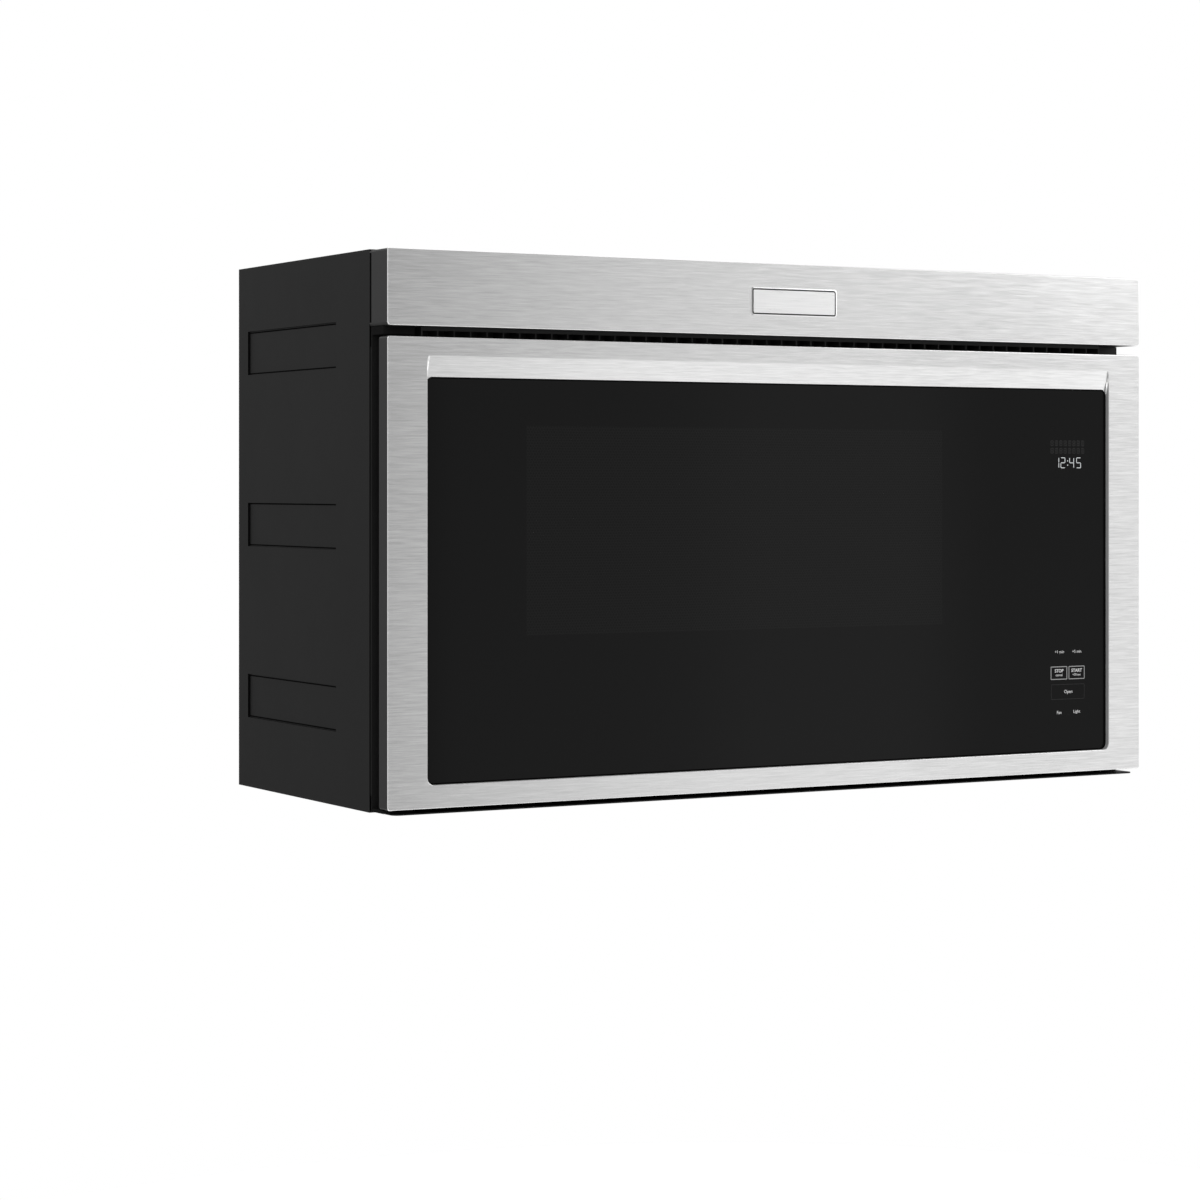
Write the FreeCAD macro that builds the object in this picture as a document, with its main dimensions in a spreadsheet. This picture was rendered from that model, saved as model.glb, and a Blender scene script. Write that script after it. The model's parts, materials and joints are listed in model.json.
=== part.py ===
"""Over the range microwave with a full-width door, a vent blower and a stirred cavity.

Row frame: X to the right, Y towards the wall, Z up. The wall plane is Y = 0, the base is Z = 0
and X = 0 is the middle. Depths that start with "front +" are measured back from the front plane.
"""
import FreeCAD, Part
import math
import os
from types import SimpleNamespace

import Sketcher
from FreeCAD import Placement, Rotation, Vector

# Driving dimensions in millimetres, by the piece that they belong to.
SIZES = {
    # whole product
    "overall_width": 762,
    "overall_height": 454,
    "overall_depth": 323.85,
    # wall plate
    "plate_depth": 20,
    "plate_sheet": 1.2,
    "plate_side_inset": 11,
    "plate_top_inset": 10,
    "stud_pitch": 406.4,
    "stud_height_pitch": 300,
    "stud_low": 80,
    "stud_hole_radius": 3.5,
    "hook_width": 30,
    "hook_height": 12,
    "hook_reach": 5,
    "hook_offset": 250,
    "hook_low": 18,
    "hook_clearance": 0.5,
    # case
    "case_sheet": 0.8,
    "case_start": 34,
    "case_turn": 12,
    "rib_height": 38,
    "rib_low": 60.8,
    "rib_top_space": 55.8,
    "rib_front": 98.5,
    "rib_rear_space": 20.55,
    "rib_depth": 1.5,
    "seat_gap": 0.1,
    "screw_radius": 2,
    "screw_head_radius": 4,
    "screw_head": 1.6,
    "screw_length": 5,
    "screw_pitch": 220,
    "screw_drop": 5.5,
    # base pan
    "pan_sheet": 1.0,
    "pan_flange": 12,
    "lip_side_inset": 6,
    "lip_front": 1.5,
    "lip_corner": 6,
    # cavity front plate
    "plate_front": 31.5,
    "front_sheet": 0.8,
    "front_flange": 16,
    "shelf_depth": 30,
    # cavity
    "cavity_left_space": 65,
    "cavity_right_space": 157,
    "cavity_low": 102,
    "cavity_top_space": 102,
    "cavity_rear_space": 30.75,
    "cavity_sheet": 0.7,
    "chamber_margin": 15,
    "chamber_depth": 22,
    "floor_thickness": 3,
    "floor_gap": 0.5,
    # waveguide and stirrer
    "guide_height": 28,
    "guide_width": 80,
    "guide_left": 60,
    "guide_right_space": 66,
    "guide_sheet": 1.0,
    "stirrer_gap": 17,
    "stirrer_sheet": 1.0,
    "stirrer_lift": 11,
    "slot_length": 46,
    "slot_width": 9,
    "slot_reach": 48,
    "stirrer_shaft_radius": 4,
    "shaft_clearance": 0.05,
    "shaft_hole_radius": 7,
    "shaft_engagement": 16,
    "stirrer_motor_radius": 25,
    "stirrer_motor_height": 20,
    "stirrer_ear_reach": 37.5,
    # magnetron
    "magnetron_inset": 111,
    "magnetron_width": 76,
    "magnetron_height": 84,
    "flange_sheet": 1.5,
    "yoke_sheet": 2,
    "antenna_radius": 8,
    "antenna_length": 18,
    "anode_radius": 20,
    "fin_count": 8,
    "fin_sheet": 0.8,
    # high voltage parts and electronics
    "transformer_inset": 63,
    "transformer_width": 92,
    "transformer_length": 72,
    "transformer_height": 74,
    "transformer_rear_gap": 13.05,
    "coil_overhang": 10,
    "coil_inset": 15,
    "coil_gap": 5,
    "transformer_foot": 3,
    "capacitor_inset": 51,
    "capacitor_depth": 62,
    "capacitor_width": 52,
    "capacitor_thickness": 32,
    "capacitor_height": 90,
    "terminal_height": 9,
    "terminal_width": 9,
    "terminal_sheet": 3,
    "clamp_sheet": 1.2,
    "clamp_height": 14,
    "board_sheet": 1.6,
    "board_low_gap": 32.2,
    "board_high_gap": 9,
    "board_front": 84,
    "board_length": 160,
    "board_standoff": 8,
    "standoff_radius": 3,
    "relay_start": 12,
    "relay_pitch": 26,
    "relay_width": 20,
    "relay_height": 26,
    "relay_depth": 16,
    "board_coil_size": 40,
    "board_coil_depth": 28,
    "board_plug_width": 40,
    "board_plug_height": 20,
    "board_plug_depth": 10,
    # cooling fan
    "fan_size": 92,
    "fan_thickness": 25,
    "fan_gap": 15.7,
    "fan_low": 92,
    "fan_bore_radius": 43,
    "fan_hub_radius": 18,
    "fan_blade_count": 7,
    "fan_tip_gap": 2,
    "fan_strut": 2,
    "fan_pin_length": 17.5,
    "fan_blade_root": 14.4,
    "fan_blade_chord": 11,
    "fan_blade_sheet": 1.2,
    "fan_bore_end_gap": 0.5,
    "fan_shaft_radius": 1.5,
    # vent blower
    "blower_rear_gap": 3.05,
    "blower_depth": 94,
    "blower_height": 79,
    "blower_half_width": 170,
    "blower_wall": 1.5,
    "blower_inlet_radius": 30,
    "wheel_radius": 36,
    "wheel_length": 112,
    "wheel_blades": 24,
    "wheel_sheet": 1.2,
    "blade_chord": 8,
    "wheel_hub_length": 20,
    "wheel_hub_wall": 2.4,
    "wheel_gap": 4,
    "blower_shaft_radius": 4,
    "blower_motor_radius": 30,
    "blower_motor_length": 80,
    # exhaust
    "outlet_width": 254,
    "outlet_depth": 83,
    "outlet_inset": 8,
    "ledge_width": 4.5,
    "collar_wall": 1.5,
    "collar_height": 18,
    "collar_flange": 8,
    "flap_sheet": 1.2,
    "flap_pin_radius": 1.5,
    "flap_gap": 0.8,
    # vent panel and air slot
    "panel_height": 61.7,
    "panel_top_gap": 0.8,
    "panel_corner": 3,
    "skin": 0.8,
    "fascia_wall": 2.5,
    "blank_width": 87,
    "blank_height": 24,
    "blank_rise": 17,
    "blank_thickness": 1.0,
    "blank_corner": 7,
    "blank_middle": 4,
    "filter_width": 320,
    "filter_height": 56,
    "filter_thickness": 20,
    "louvre_gap": 1,
    "louvre_front": 13,
    "louvre_wall": 1.5,
    "louvre_side_inset": 36,
    "louvre_end_margin": 10,
    "louvre_fin_pitch": 15,
    "louvre_fin": 1.2,
    # grease filters
    "grease_side_space": 131,
    "grease_width": 200,
    "grease_length": 120,
    "grease_thickness": 8,
    "grease_rail": 6,
    "grease_mesh": 4,
    "grease_rear_gap": 15.05,
    "grease_gap": 0.6,
    "tab_width": 34,
    "tab_reach": 12,
    # cooktop lights
    "lens_offset": 150,
    "lens_width": 70,
    "lens_length": 42,
    "lens_front": 88,
    "lens_step": 3,
    "lens_thickness": 3,
    "lamp_height": 14,
    "lamp_plug_width": 12,
    "lamp_plug_reach": 6,
    # cavity lamp
    "cavity_lamp_depth": 50,
    "cavity_lamp_size": 28,
    "cavity_lamp_drop": 52,
    "cavity_lamp_box": 21,
    "cavity_lamp_rim": 3.4,
    # door latch
    "latch_inset": 63,
    "latch_low": 110,
    "latch_pitch": 200,
    "latch_board_width": 40,
    "latch_board_depth": 26,
    "latch_board_wall": 3,
    "latch_board_reach": 30,
    "slot_half_width": 6,
    "slot_half_height": 9,
    "hook_sheet": 4,
    "hook_tip": 7,
    "hook_thickness_up": 9,
    "switch_width": 10,
    "switch_depth": 16,
    "button_size": 3,
    "button_stroke": 2,
    "button_gap": 0.3,
    "slider_width": 8,
    "slider_stroke": 5,
    # hinge
    "hinge_inset": 11,
    "hinge_depth": 18.5,
    "hinge_pin_radius": 3,
    "hinge_clearance": 0.05,
    "hinge_pin_reach": 14,
    "stile_radius": 6,
    "bracket_width": 28,
    "bracket_front": 10,
    "bracket_gap": 0.7,
    "washer_gap": 0.3,
    # door
    "door_low": 4.3,
    "door_top_gap": 8.5,
    "slab_depth": 15.8,
    "edge_wall": 2.5,
    "back_wall": 1.5,
    "glass_side_border": 35.5,
    "glass_low_border": 18.7,
    "pocket_top_border": 15,
    "pocket_slope_height": 17,
    "pocket_depth": 4.3,
    "glass_corner": 7,
    "glass_thickness": 3.2,
    "glass_lap": 5,
    "liner_side_inset": 6,
    "liner_low_inset": 3.7,
    "liner_high_inset": 4,
    "liner_rear": 30.5,
    "liner_sheet": 0.8,
    "window_left_border": 62.6,
    "window_right_border": 61.3,
    "window_low_border": 39,
    "window_high_border": 39.5,
    "inner_glass": 3,
    "inner_glass_lap": 12,
    "choke_gap": 0.5,
    "control_inset": 49,
    "control_width": 64,
    "control_low_border": 23,
    "control_high_border": 37,
    "control_thickness": 1.6,
    "display_width": 48,
    "display_height": 30,
    "display_drop": 40,
    "display_thickness": 4,
    "connector_width": 18,
    "connector_height": 5,
    "connector_rise": 10,
    # cabinet bolts, gland
    "cabinet_pitch": 616,
    "cabinet_depth": 104,
    "nut_radius": 8,
    "nut_bore_radius": 2.6,
    "nut_height": 8,
    "bolt_clearance": 0.8,
    "gland_inset": 81,
    "gland_rear_gap": 41.05,
    "gland_bore_radius": 4.5,
    "gland_radius": 8,
    "gland_flange_radius": 12,
    "gland_flange_sheet": 2.4,
    "gland_length": 16,
}


class Size:
    """A length together with the sheet expression that it comes from."""

    def __init__(self, value, text):
        self.value = value
        self.text = text

    def combine(self, other, sign, value, swap=False):
        first, second = (other, self) if swap else (self, other)
        return Size(value, f"({first.text} {sign} {second.text})")

    def __add__(self, other):
        other = as_size(other)
        return self.combine(other, "+", self.value + other.value)

    def __radd__(self, other):
        other = as_size(other)
        return self.combine(other, "+", other.value + self.value, swap=True)

    def __sub__(self, other):
        other = as_size(other)
        return self.combine(other, "-", self.value - other.value)

    def __rsub__(self, other):
        other = as_size(other)
        return self.combine(other, "-", other.value - self.value, swap=True)

    def __mul__(self, other):
        other = as_size(other)
        return self.combine(other, "*", self.value * other.value)

    def __rmul__(self, other):
        other = as_size(other)
        return self.combine(other, "*", other.value * self.value, swap=True)

    def __truediv__(self, other):
        other = as_size(other)
        return self.combine(other, "/", self.value / other.value)

    def __neg__(self):
        return Size(-self.value, f"(-{self.text})")


def as_size(number):
    if isinstance(number, Size):
        return number
    return Size(float(number), f"({float(number)!r})")


doc = FreeCAD.newDocument("over_the_range_microwave")
sheet = doc.addObject("Spreadsheet::Sheet", "Dims")
for row, (alias, number) in enumerate(SIZES.items(), start=1):
    sheet.set(f"A{row}", str(number))
    sheet.setAlias(f"A{row}", alias)
doc.recompute()
dim = SimpleNamespace(**{alias: Size(float(number), f"Dims.{alias}") for alias, number in SIZES.items()})

subparts = []

# ---------------------------------------------------------------- shared places

front = -dim.overall_depth
case_rear = -dim.plate_depth
half_width = dim.overall_width / 2
case_inside = half_width - dim.case_sheet
inner_side = case_inside - dim.seat_gap
case_top_inside = dim.overall_height - dim.case_sheet
case_front = front + dim.case_start
rear_panel_front = case_rear - dim.front_sheet

panel_high = dim.overall_height - dim.panel_top_gap
panel_low = panel_high - dim.panel_height
door_high = panel_low - dim.door_top_gap
louvre_low = door_high + dim.louvre_gap

plate_face = front + dim.plate_front
plate_back = plate_face + dim.front_sheet
cavity_left = -half_width + dim.cavity_left_space
cavity_right = half_width - dim.cavity_right_space
cavity_middle = (cavity_left + cavity_right) / 2
cavity_high = dim.overall_height - dim.cavity_top_space
cavity_rear = rear_panel_front - dim.cavity_rear_space
cavity_outer_right = cavity_right + dim.cavity_sheet
cavity_outer_high = cavity_high + dim.cavity_sheet

stirrer_y = (plate_back + cavity_rear) / 2
chamber_radius = (cavity_rear - plate_back) / 2 - dim.chamber_margin
stirrer_radius = chamber_radius - dim.stirrer_gap
chamber_low = dim.cavity_low - dim.chamber_depth
guide_high = chamber_low - dim.cavity_sheet
guide_low = guide_high - dim.guide_height
guide_y = (stirrer_y - dim.guide_width / 2, stirrer_y + dim.guide_width / 2)

magnetron_x = half_width - dim.magnetron_inset
magnetron_body_high = guide_high + dim.flange_sheet + dim.magnetron_height
magnetron_high = magnetron_body_high + dim.terminal_height * 2

hinge_x = -half_width + dim.hinge_inset
hinge_y = front + dim.hinge_depth
latch_x = half_width - dim.latch_inset

blower_rear = rear_panel_front - dim.blower_rear_gap
blower_front = blower_rear - dim.blower_depth
blower_y = (blower_front + blower_rear) / 2
blower_low = cavity_outer_high
blower_high = blower_low + dim.blower_height
blower_z = blower_low + dim.blower_height / 2
collar_low = dim.overall_height - dim.collar_height
outlet_y = (blower_front + dim.outlet_inset, blower_front + dim.outlet_inset + dim.outlet_depth)

grease_rear = rear_panel_front - dim.grease_rear_gap
grease_front = grease_rear - dim.grease_length
grease_middle = half_width - dim.grease_side_space - dim.grease_width / 2
gland_centre = (half_width - dim.gland_inset, rear_panel_front - dim.gland_rear_gap)

window_x = (cavity_left + dim.window_left_border, cavity_right - dim.window_right_border)
window_z = (dim.cavity_low + dim.window_low_border, cavity_high - dim.window_high_border)

# ---------------------------------------------------------------- modelling helpers

AXES = {
    "x": Rotation(Vector(0, 1, 0), 90),
    "y": Rotation(Vector(1, 0, 0), -90),
    "z": Rotation(),
}
PLANES = {"z": "XY_Plane", "y": "XZ_Plane", "x": "YZ_Plane"}

# The cooling fan's blades are pitched by this many degrees.
FAN_PITCH = 50

# Pressed ribs on each side of the case.
RIB_COUNT = 3

# Places of the four screws in a row, in pitches from the middle.
SCREW_STEPS = (-1.5, -0.5, 0.5, 1.5)

RELAY_COUNT = 4


def bind(obj, prop, size):
    obj.setExpression(prop, as_size(size).text)


def block(name, x, y, z):
    """A box between the named limits on each axis."""
    box = doc.addObject("Part::Box", name)
    for prop, (low, high) in zip(("Length", "Width", "Height"), (x, y, z)):
        bind(box, prop, as_size(high) - low)
    for axis, (low, _) in zip("xyz", (x, y, z)):
        bind(box, f"Placement.Base.{axis}", low)
    return box


def rod(name, axis, centre, radius, span):
    """A cylinder along an axis; centre gives the other two coordinates in X, Y, Z order."""
    cylinder = doc.addObject("Part::Cylinder", name)
    cylinder.Placement = Placement(Vector(), AXES[axis])
    bind(cylinder, "Radius", radius)
    bind(cylinder, "Height", as_size(span[1]) - span[0])
    place = dict(zip([letter for letter in "xyz" if letter != axis], centre))
    place[axis] = span[0]
    for letter, size in place.items():
        bind(cylinder, f"Placement.Base.{letter}", size)
    return cylinder


def compound(name, pieces):
    group = doc.addObject("Part::Compound", name)
    group.Links = pieces
    return group


def join(name, pieces):
    fuse = doc.addObject("Part::MultiFuse", name)
    fuse.Shapes = pieces
    fuse.Refine = True
    return fuse


def carve(name, base, tools):
    """Base less every tool; each cut has to take something away."""
    cut = doc.addObject("Part::Cut", name)
    cut.Base = base
    cut.Tool = compound(name + "_tools", tools)
    doc.recompute()
    if cut.Shape.isNull() or cut.Shape.Volume >= base.Shape.Volume - 1e-6:
        raise RuntimeError(f"{name} cuts nothing")
    return cut


def finish(label, obj):
    obj.Label = label
    subparts.append(obj)
    return obj


def new_body(name):
    return doc.addObject("PartDesign::Body", name)


def draw_polygon(sketch, points):
    start = len(sketch.Geometry)
    count = len(points)
    spots = [Vector(as_size(u).value, as_size(v).value, 0) for u, v in points]
    for index in range(count):
        sketch.addGeometry(Part.LineSegment(spots[index], spots[(index + 1) % count]), False)
    for index in range(count):
        following = start + (index + 1) % count
        sketch.addConstraint(Sketcher.Constraint("Coincident", start + index, 2, following, 1))
    for index, (u, v) in enumerate(points):
        for kind, size in (("DistanceX", as_size(u)), ("DistanceY", as_size(v))):
            number = sketch.addConstraint(
                Sketcher.Constraint(kind, -1, 1, start + index, 1, size.value))
            sketch.setExpression(f"Constraints[{number}]", size.text)


def draw_circle(sketch, u, v, radius):
    index = len(sketch.Geometry)
    u, v, radius = as_size(u), as_size(v), as_size(radius)
    circle = Part.Circle(Vector(u.value, v.value, 0), Vector(0, 0, 1), radius.value)
    sketch.addGeometry(circle, False)
    for kind, size in (("DistanceX", u), ("DistanceY", v)):
        number = sketch.addConstraint(Sketcher.Constraint(kind, -1, 1, index, 3, size.value))
        sketch.setExpression(f"Constraints[{number}]", size.text)
    number = sketch.addConstraint(Sketcher.Constraint("Radius", index, radius.value))
    sketch.setExpression(f"Constraints[{number}]", radius.text)


def rectangle(u, v):
    return [(u[0], v[0]), (u[1], v[0]), (u[1], v[1]), (u[0], v[1])]


def add_sketch(body, axis, loops, offset):
    """A sketch square to the axis; a loop is a list of points or a circle's (u, v, radius)."""
    sketch = body.newObject("Sketcher::SketchObject", body.Name + "_sketch")
    sketch.AttachmentSupport = [(origin_part(body, PLANES[axis]), "")]
    sketch.MapMode = "FlatFace"
    bind(sketch, "AttachmentOffset.Base.z", offset)
    for loop in loops:
        if isinstance(loop, tuple):
            draw_circle(sketch, *loop)
        else:
            draw_polygon(sketch, loop)
    return sketch


def pad(body, axis, loops, span):
    """Adds the loops as a slab between the two limits of the span on the axis."""
    low, high = as_size(span[0]), as_size(span[1])
    offset = -high if axis == "y" else low
    feature = body.newObject("PartDesign::Pad", body.Name + "_pad")
    feature.Profile = add_sketch(body, axis, loops, offset)
    bind(feature, "Length", high - low)
    doc.recompute()
    return feature


def pocket(body, axis, loops, span):
    """Takes the loops away between the two limits of the span on the axis."""
    before = body.Shape.Volume
    low, high = as_size(span[0]), as_size(span[1])
    offset = -low if axis == "y" else high
    feature = body.newObject("PartDesign::Pocket", body.Name + "_pocket")
    feature.Profile = add_sketch(body, axis, loops, offset)
    bind(feature, "Length", high - low)
    doc.recompute()
    if body.Shape.Volume >= before - 1e-6:
        raise RuntimeError(f"a pocket of {body.Name} cuts nothing")
    return feature


def repeat_across(body, feature, axis, pitch, count):
    """Repeats a feature along an axis of its body, count times at the given pitch."""
    pattern = body.newObject("PartDesign::LinearPattern", body.Name + "_row")
    pattern.Originals = [feature]
    pattern.Direction = (origin_part(body, f"{axis.upper()}_Axis"), [""])
    bind(pattern, "Length", as_size(pitch) * (count - 1))
    pattern.Occurrences = count
    body.Tip = pattern
    doc.recompute()


def repeat_around(body, feature, axis, count):
    """Repeats a feature round an axis through its body's origin."""
    pattern = body.newObject("PartDesign::PolarPattern", body.Name + "_ring")
    pattern.Originals = [feature]
    pattern.Axis = (origin_part(body, f"{axis.upper()}_Axis"), [""])
    pattern.Angle = 360
    pattern.Occurrences = count
    body.Tip = pattern
    doc.recompute()


def origin_part(body, role):
    return [item for item in body.Origin.OriginFeatures if item.Role == role][0]


def runs_along(edge, axis):
    if len(edge.Vertexes) != 2 or edge.Curve.TypeId != "Part::GeomLine":
        return False
    step = edge.Vertexes[1].Point - edge.Vertexes[0].Point
    return abs(abs(getattr(step, axis)) - step.Length) < 1e-6


def round_corners(body, axis, radius, spots, tolerance=0.05):
    """Rounds the body's edges along the axis that pass through one of the given spots."""
    others = [letter for letter in "xyz" if letter != axis]
    places = [tuple(as_size(value).value for value in spot) for spot in spots]
    names = []
    for index, edge in enumerate(body.Shape.Edges, start=1):
        if not runs_along(edge, axis):
            continue
        point = edge.Vertexes[0].Point
        here = tuple(getattr(point, letter) for letter in others)
        if any(math.dist(here, place) < tolerance for place in places):
            names.append(f"Edge{index}")
    if not names:
        raise RuntimeError(f"{body.Name} has no edge to round")
    base = body.Tip
    feature = body.newObject("PartDesign::Fillet", body.Name + "_fillet")
    feature.Base = (base, names)
    bind(feature, "Radius", radius)
    doc.recompute()
    return feature


def mirror_spans(low, high):
    """A span and its mirror image about X = 0, left one first."""
    return ((-high, -low), (low, high))


# ---------------------------------------------------------------- housing


def wall_plate():
    """Pressed tray screwed to the studs; its hooks carry the oven's rear panel."""
    side = half_width - dim.plate_side_inset
    top = dim.overall_height - dim.plate_top_inset
    wall = dim.plate_sheet
    holes = [(u, v, dim.stud_hole_radius)
             for u in (-dim.stud_pitch / 2, dim.stud_pitch / 2)
             for v in (dim.stud_low, dim.stud_low + dim.stud_height_pitch)]
    body = new_body("wall_plate_body")
    pad(body, "y", [rectangle((-side, side), (as_size(0), top))] + holes, (-wall, as_size(0)))
    rim = [rectangle((-side, side), (as_size(0), top)),
           rectangle((-side + wall, side - wall), (wall, top - wall))]
    pad(body, "y", rim, (case_rear, -wall))
    for middle in (-dim.hook_offset, dim.hook_offset):
        tab = rectangle((middle - dim.hook_width / 2, middle + dim.hook_width / 2),
                        (dim.hook_low, dim.hook_low + dim.hook_height))
        pad(body, "y", [tab], (rear_panel_front - dim.hook_reach, -wall))
    finish("wall_plate", body)


def hook_slots():
    """Clearance slots for the wall plate's hooks."""
    gap = dim.hook_clearance
    return [rectangle((middle - dim.hook_width / 2 - gap, middle + dim.hook_width / 2 + gap),
                      (dim.hook_low - gap, dim.hook_low + dim.hook_height + gap))
            for middle in (-dim.hook_offset, dim.hook_offset)]


def screw_holes():
    return [(x, z, dim.screw_radius + dim.seat_gap) for x, z in screw_spots()]


def rear_panel():
    """Flat rear sheet with a slot for each hook of the wall plate."""
    body = new_body("rear_panel_body")
    low, high = dim.pan_sheet + dim.seat_gap, case_top_inside - dim.seat_gap
    pad(body, "y", [rectangle((-inner_side, inner_side), (low, high))] + hook_slots() + screw_holes(),
        (rear_panel_front, case_rear))
    finish("rear_panel", body)


def outer_case():
    """Wrapped sheet: two sides and the top, with three pressed ribs on each side."""
    body = new_body("outer_case_body")
    wrap = [(-half_width, as_size(0)), (-half_width, dim.overall_height),
            (half_width, dim.overall_height), (half_width, as_size(0)),
            (case_inside, as_size(0)), (case_inside, case_top_inside),
            (-case_inside, case_top_inside), (-case_inside, as_size(0))]
    pad(body, "y", [wrap], (case_front, case_rear))
    openings = [rectangle((-dim.outlet_width / 2, dim.outlet_width / 2), outlet_y),
                (*gland_centre, dim.gland_radius + dim.seat_gap)]
    openings += [(side, front + dim.cabinet_depth, dim.nut_bore_radius + dim.bolt_clearance)
                 for side in (-dim.cabinet_pitch / 2, dim.cabinet_pitch / 2)]
    pocket(body, "z", openings, (case_top_inside, dim.overall_height))
    turn_y = (rear_panel_front - dim.case_sheet, rear_panel_front)
    turn = rectangle((-case_inside, case_inside), (case_top_inside - dim.case_turn, case_top_inside))
    pad(body, "y", [turn] + screw_holes()[4:], turn_y)
    rib_y = (front + dim.rib_front, case_rear - dim.rib_rear_space)
    top_rib_low = dim.overall_height - dim.rib_top_space - dim.rib_height
    rib_pitch = (top_rib_low - dim.rib_low) / (RIB_COUNT - 1)
    for index in range(RIB_COUNT):
        low = dim.rib_low + rib_pitch * index
        rib_z = (low, low + dim.rib_height)
        wall = dim.case_sheet
        bulge = rectangle((rib_y[0] - wall, rib_y[1] + wall), (rib_z[0] - wall, rib_z[1] + wall))
        for raised in mirror_spans(case_inside - dim.rib_depth, case_inside):
            pad(body, "x", [bulge], raised)
        for sunk in mirror_spans(half_width - dim.rib_depth, half_width):
            pocket(body, "x", [rectangle(rib_y, rib_z)], sunk)
    finish("outer_case", body)


def screw_spots():
    """Heads on the rear panel: low ones into the base pan, high ones into the case's top turn."""
    return [(x, z) for z in (dim.pan_sheet + dim.pan_flange / 2, dim.overall_height - dim.screw_drop)
            for x in [dim.screw_pitch * step for step in SCREW_STEPS]]


def case_screws():
    """Screws through the rear panel into the base pan's and the case's rear flanges."""
    pieces = []
    for index, spot in enumerate(screw_spots()):
        head = (case_rear, case_rear + dim.screw_head)
        shank = (case_rear - dim.screw_length, case_rear)
        pieces.append(join(f"case_screw_{index}", [
            rod(f"screw_head_{index}", "y", spot, dim.screw_head_radius, head),
            rod(f"screw_shank_{index}", "y", spot, dim.screw_radius, shank)]))
    finish("case_screws", compound("case_screws_set", pieces))


def top_nuts():
    """Clinched nuts under the case top for the bolts that come down through the cabinet."""
    nuts = []
    for index, side in enumerate((-dim.cabinet_pitch / 2, dim.cabinet_pitch / 2)):
        centre = (side, front + dim.cabinet_depth)
        span = (case_top_inside - dim.nut_height, case_top_inside)
        outer = rod(f"nut_{index}", "z", centre, dim.nut_radius, span)
        nuts.append(carve(f"nut_{index}_tapped", outer,
                          [rod(f"nut_{index}_bore", "z", centre, dim.nut_bore_radius, span)]))
    finish("cabinet_nuts", compound("cabinet_nuts_set", nuts))


def base_pan():
    """Bottom sheet with its lip under the door, side flanges, filter and lens openings."""
    body = new_body("base_pan_body")
    lip = half_width - dim.lip_side_inset
    outline = [(-lip, front + dim.lip_front), (lip, front + dim.lip_front), (lip, case_front),
               (inner_side, case_front), (inner_side, rear_panel_front),
               (-inner_side, rear_panel_front), (-inner_side, case_front), (-lip, case_front)]
    openings = []
    for middle in (-grease_middle, grease_middle):
        reach = dim.grease_width / 2 + dim.grease_gap
        openings.append(rectangle((middle - reach, middle + reach),
                                  (grease_front - dim.grease_gap, grease_rear + dim.grease_gap)))
    for middle in (-dim.lens_offset, dim.lens_offset):
        half = dim.lens_width / 2 - dim.lens_step + dim.grease_gap
        near = front + dim.lens_front + dim.lens_step - dim.grease_gap
        far = front + dim.lens_front + dim.lens_length - dim.lens_step + dim.grease_gap
        openings.append(rectangle((middle - half, middle + half), (near, far)))
    pad(body, "z", [outline] + openings, (as_size(0), dim.pan_sheet))
    round_corners(body, "z", dim.lip_corner,
                  [(-lip, front + dim.lip_front), (lip, front + dim.lip_front)])
    flange_y = (case_front + dim.case_turn / 2, rear_panel_front - dim.front_sheet)
    for low, high in mirror_spans(inner_side - dim.pan_sheet, inner_side):
        pad(body, "z", [rectangle((low, high), flange_y)],
            (dim.pan_sheet, dim.pan_sheet + dim.pan_flange))
    rear = (rear_panel_front - dim.pan_sheet, rear_panel_front)
    rise = (dim.pan_sheet, dim.pan_sheet + dim.pan_flange)
    reach = inner_side - dim.pan_sheet
    pad(body, "y", [rectangle((-reach, reach), rise)] + screw_holes()[:4], rear)
    finish("base_pan", body)


def cord_gland():
    """Grommet through the case top; the supply cord itself isn't part of the row."""
    centre = gland_centre
    high = dim.overall_height
    shape = join("gland_outer", [
        rod("gland_barrel", "z", centre, dim.gland_radius, (high - dim.gland_length, high)),
        rod("gland_flange", "z", centre, dim.gland_flange_radius,
            (case_top_inside - dim.gland_flange_sheet, case_top_inside))])
    bore = rod("gland_bore", "z", centre, dim.gland_bore_radius, (high - dim.gland_length, high))
    finish("cord_gland", carve("cord_gland_cut", shape, [bore]))


def cavity_front_plate():
    """Sheet round the cavity mouth, with latch slots, side flanges and a shelf above."""
    body = new_body("front_plate_body")
    low, high = dim.pan_sheet + dim.seat_gap, panel_low - dim.seat_gap
    loops = [rectangle((-inner_side, inner_side), (low, high)),
             rectangle((cavity_left, cavity_right), (dim.cavity_low, cavity_high))]
    for middle in latch_heights():
        loops.append(rectangle(
            (latch_x - dim.slot_half_width, latch_x + dim.slot_half_width),
            (middle - dim.slot_half_height, middle + dim.slot_half_height)))
    pad(body, "y", loops, (plate_face, plate_back))
    flange_y = (plate_back, plate_back + dim.front_flange)
    flange_low = dim.pan_sheet + dim.pan_flange + dim.front_sheet
    for side in mirror_spans(inner_side - dim.front_sheet, inner_side):
        pad(body, "z", [rectangle(side, flange_y)], (flange_low, high - dim.front_flange))
    shelf = rectangle((-inner_side + dim.front_flange, inner_side - dim.front_flange),
                      (plate_back, plate_back + dim.shelf_depth))
    pad(body, "z", [shelf], (high - dim.front_sheet, high))
    finish("cavity_front_plate", body)


def latch_heights():
    return (dim.latch_low, dim.latch_low + dim.latch_pitch)


# ---------------------------------------------------------------- cavity and microwave parts


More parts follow.
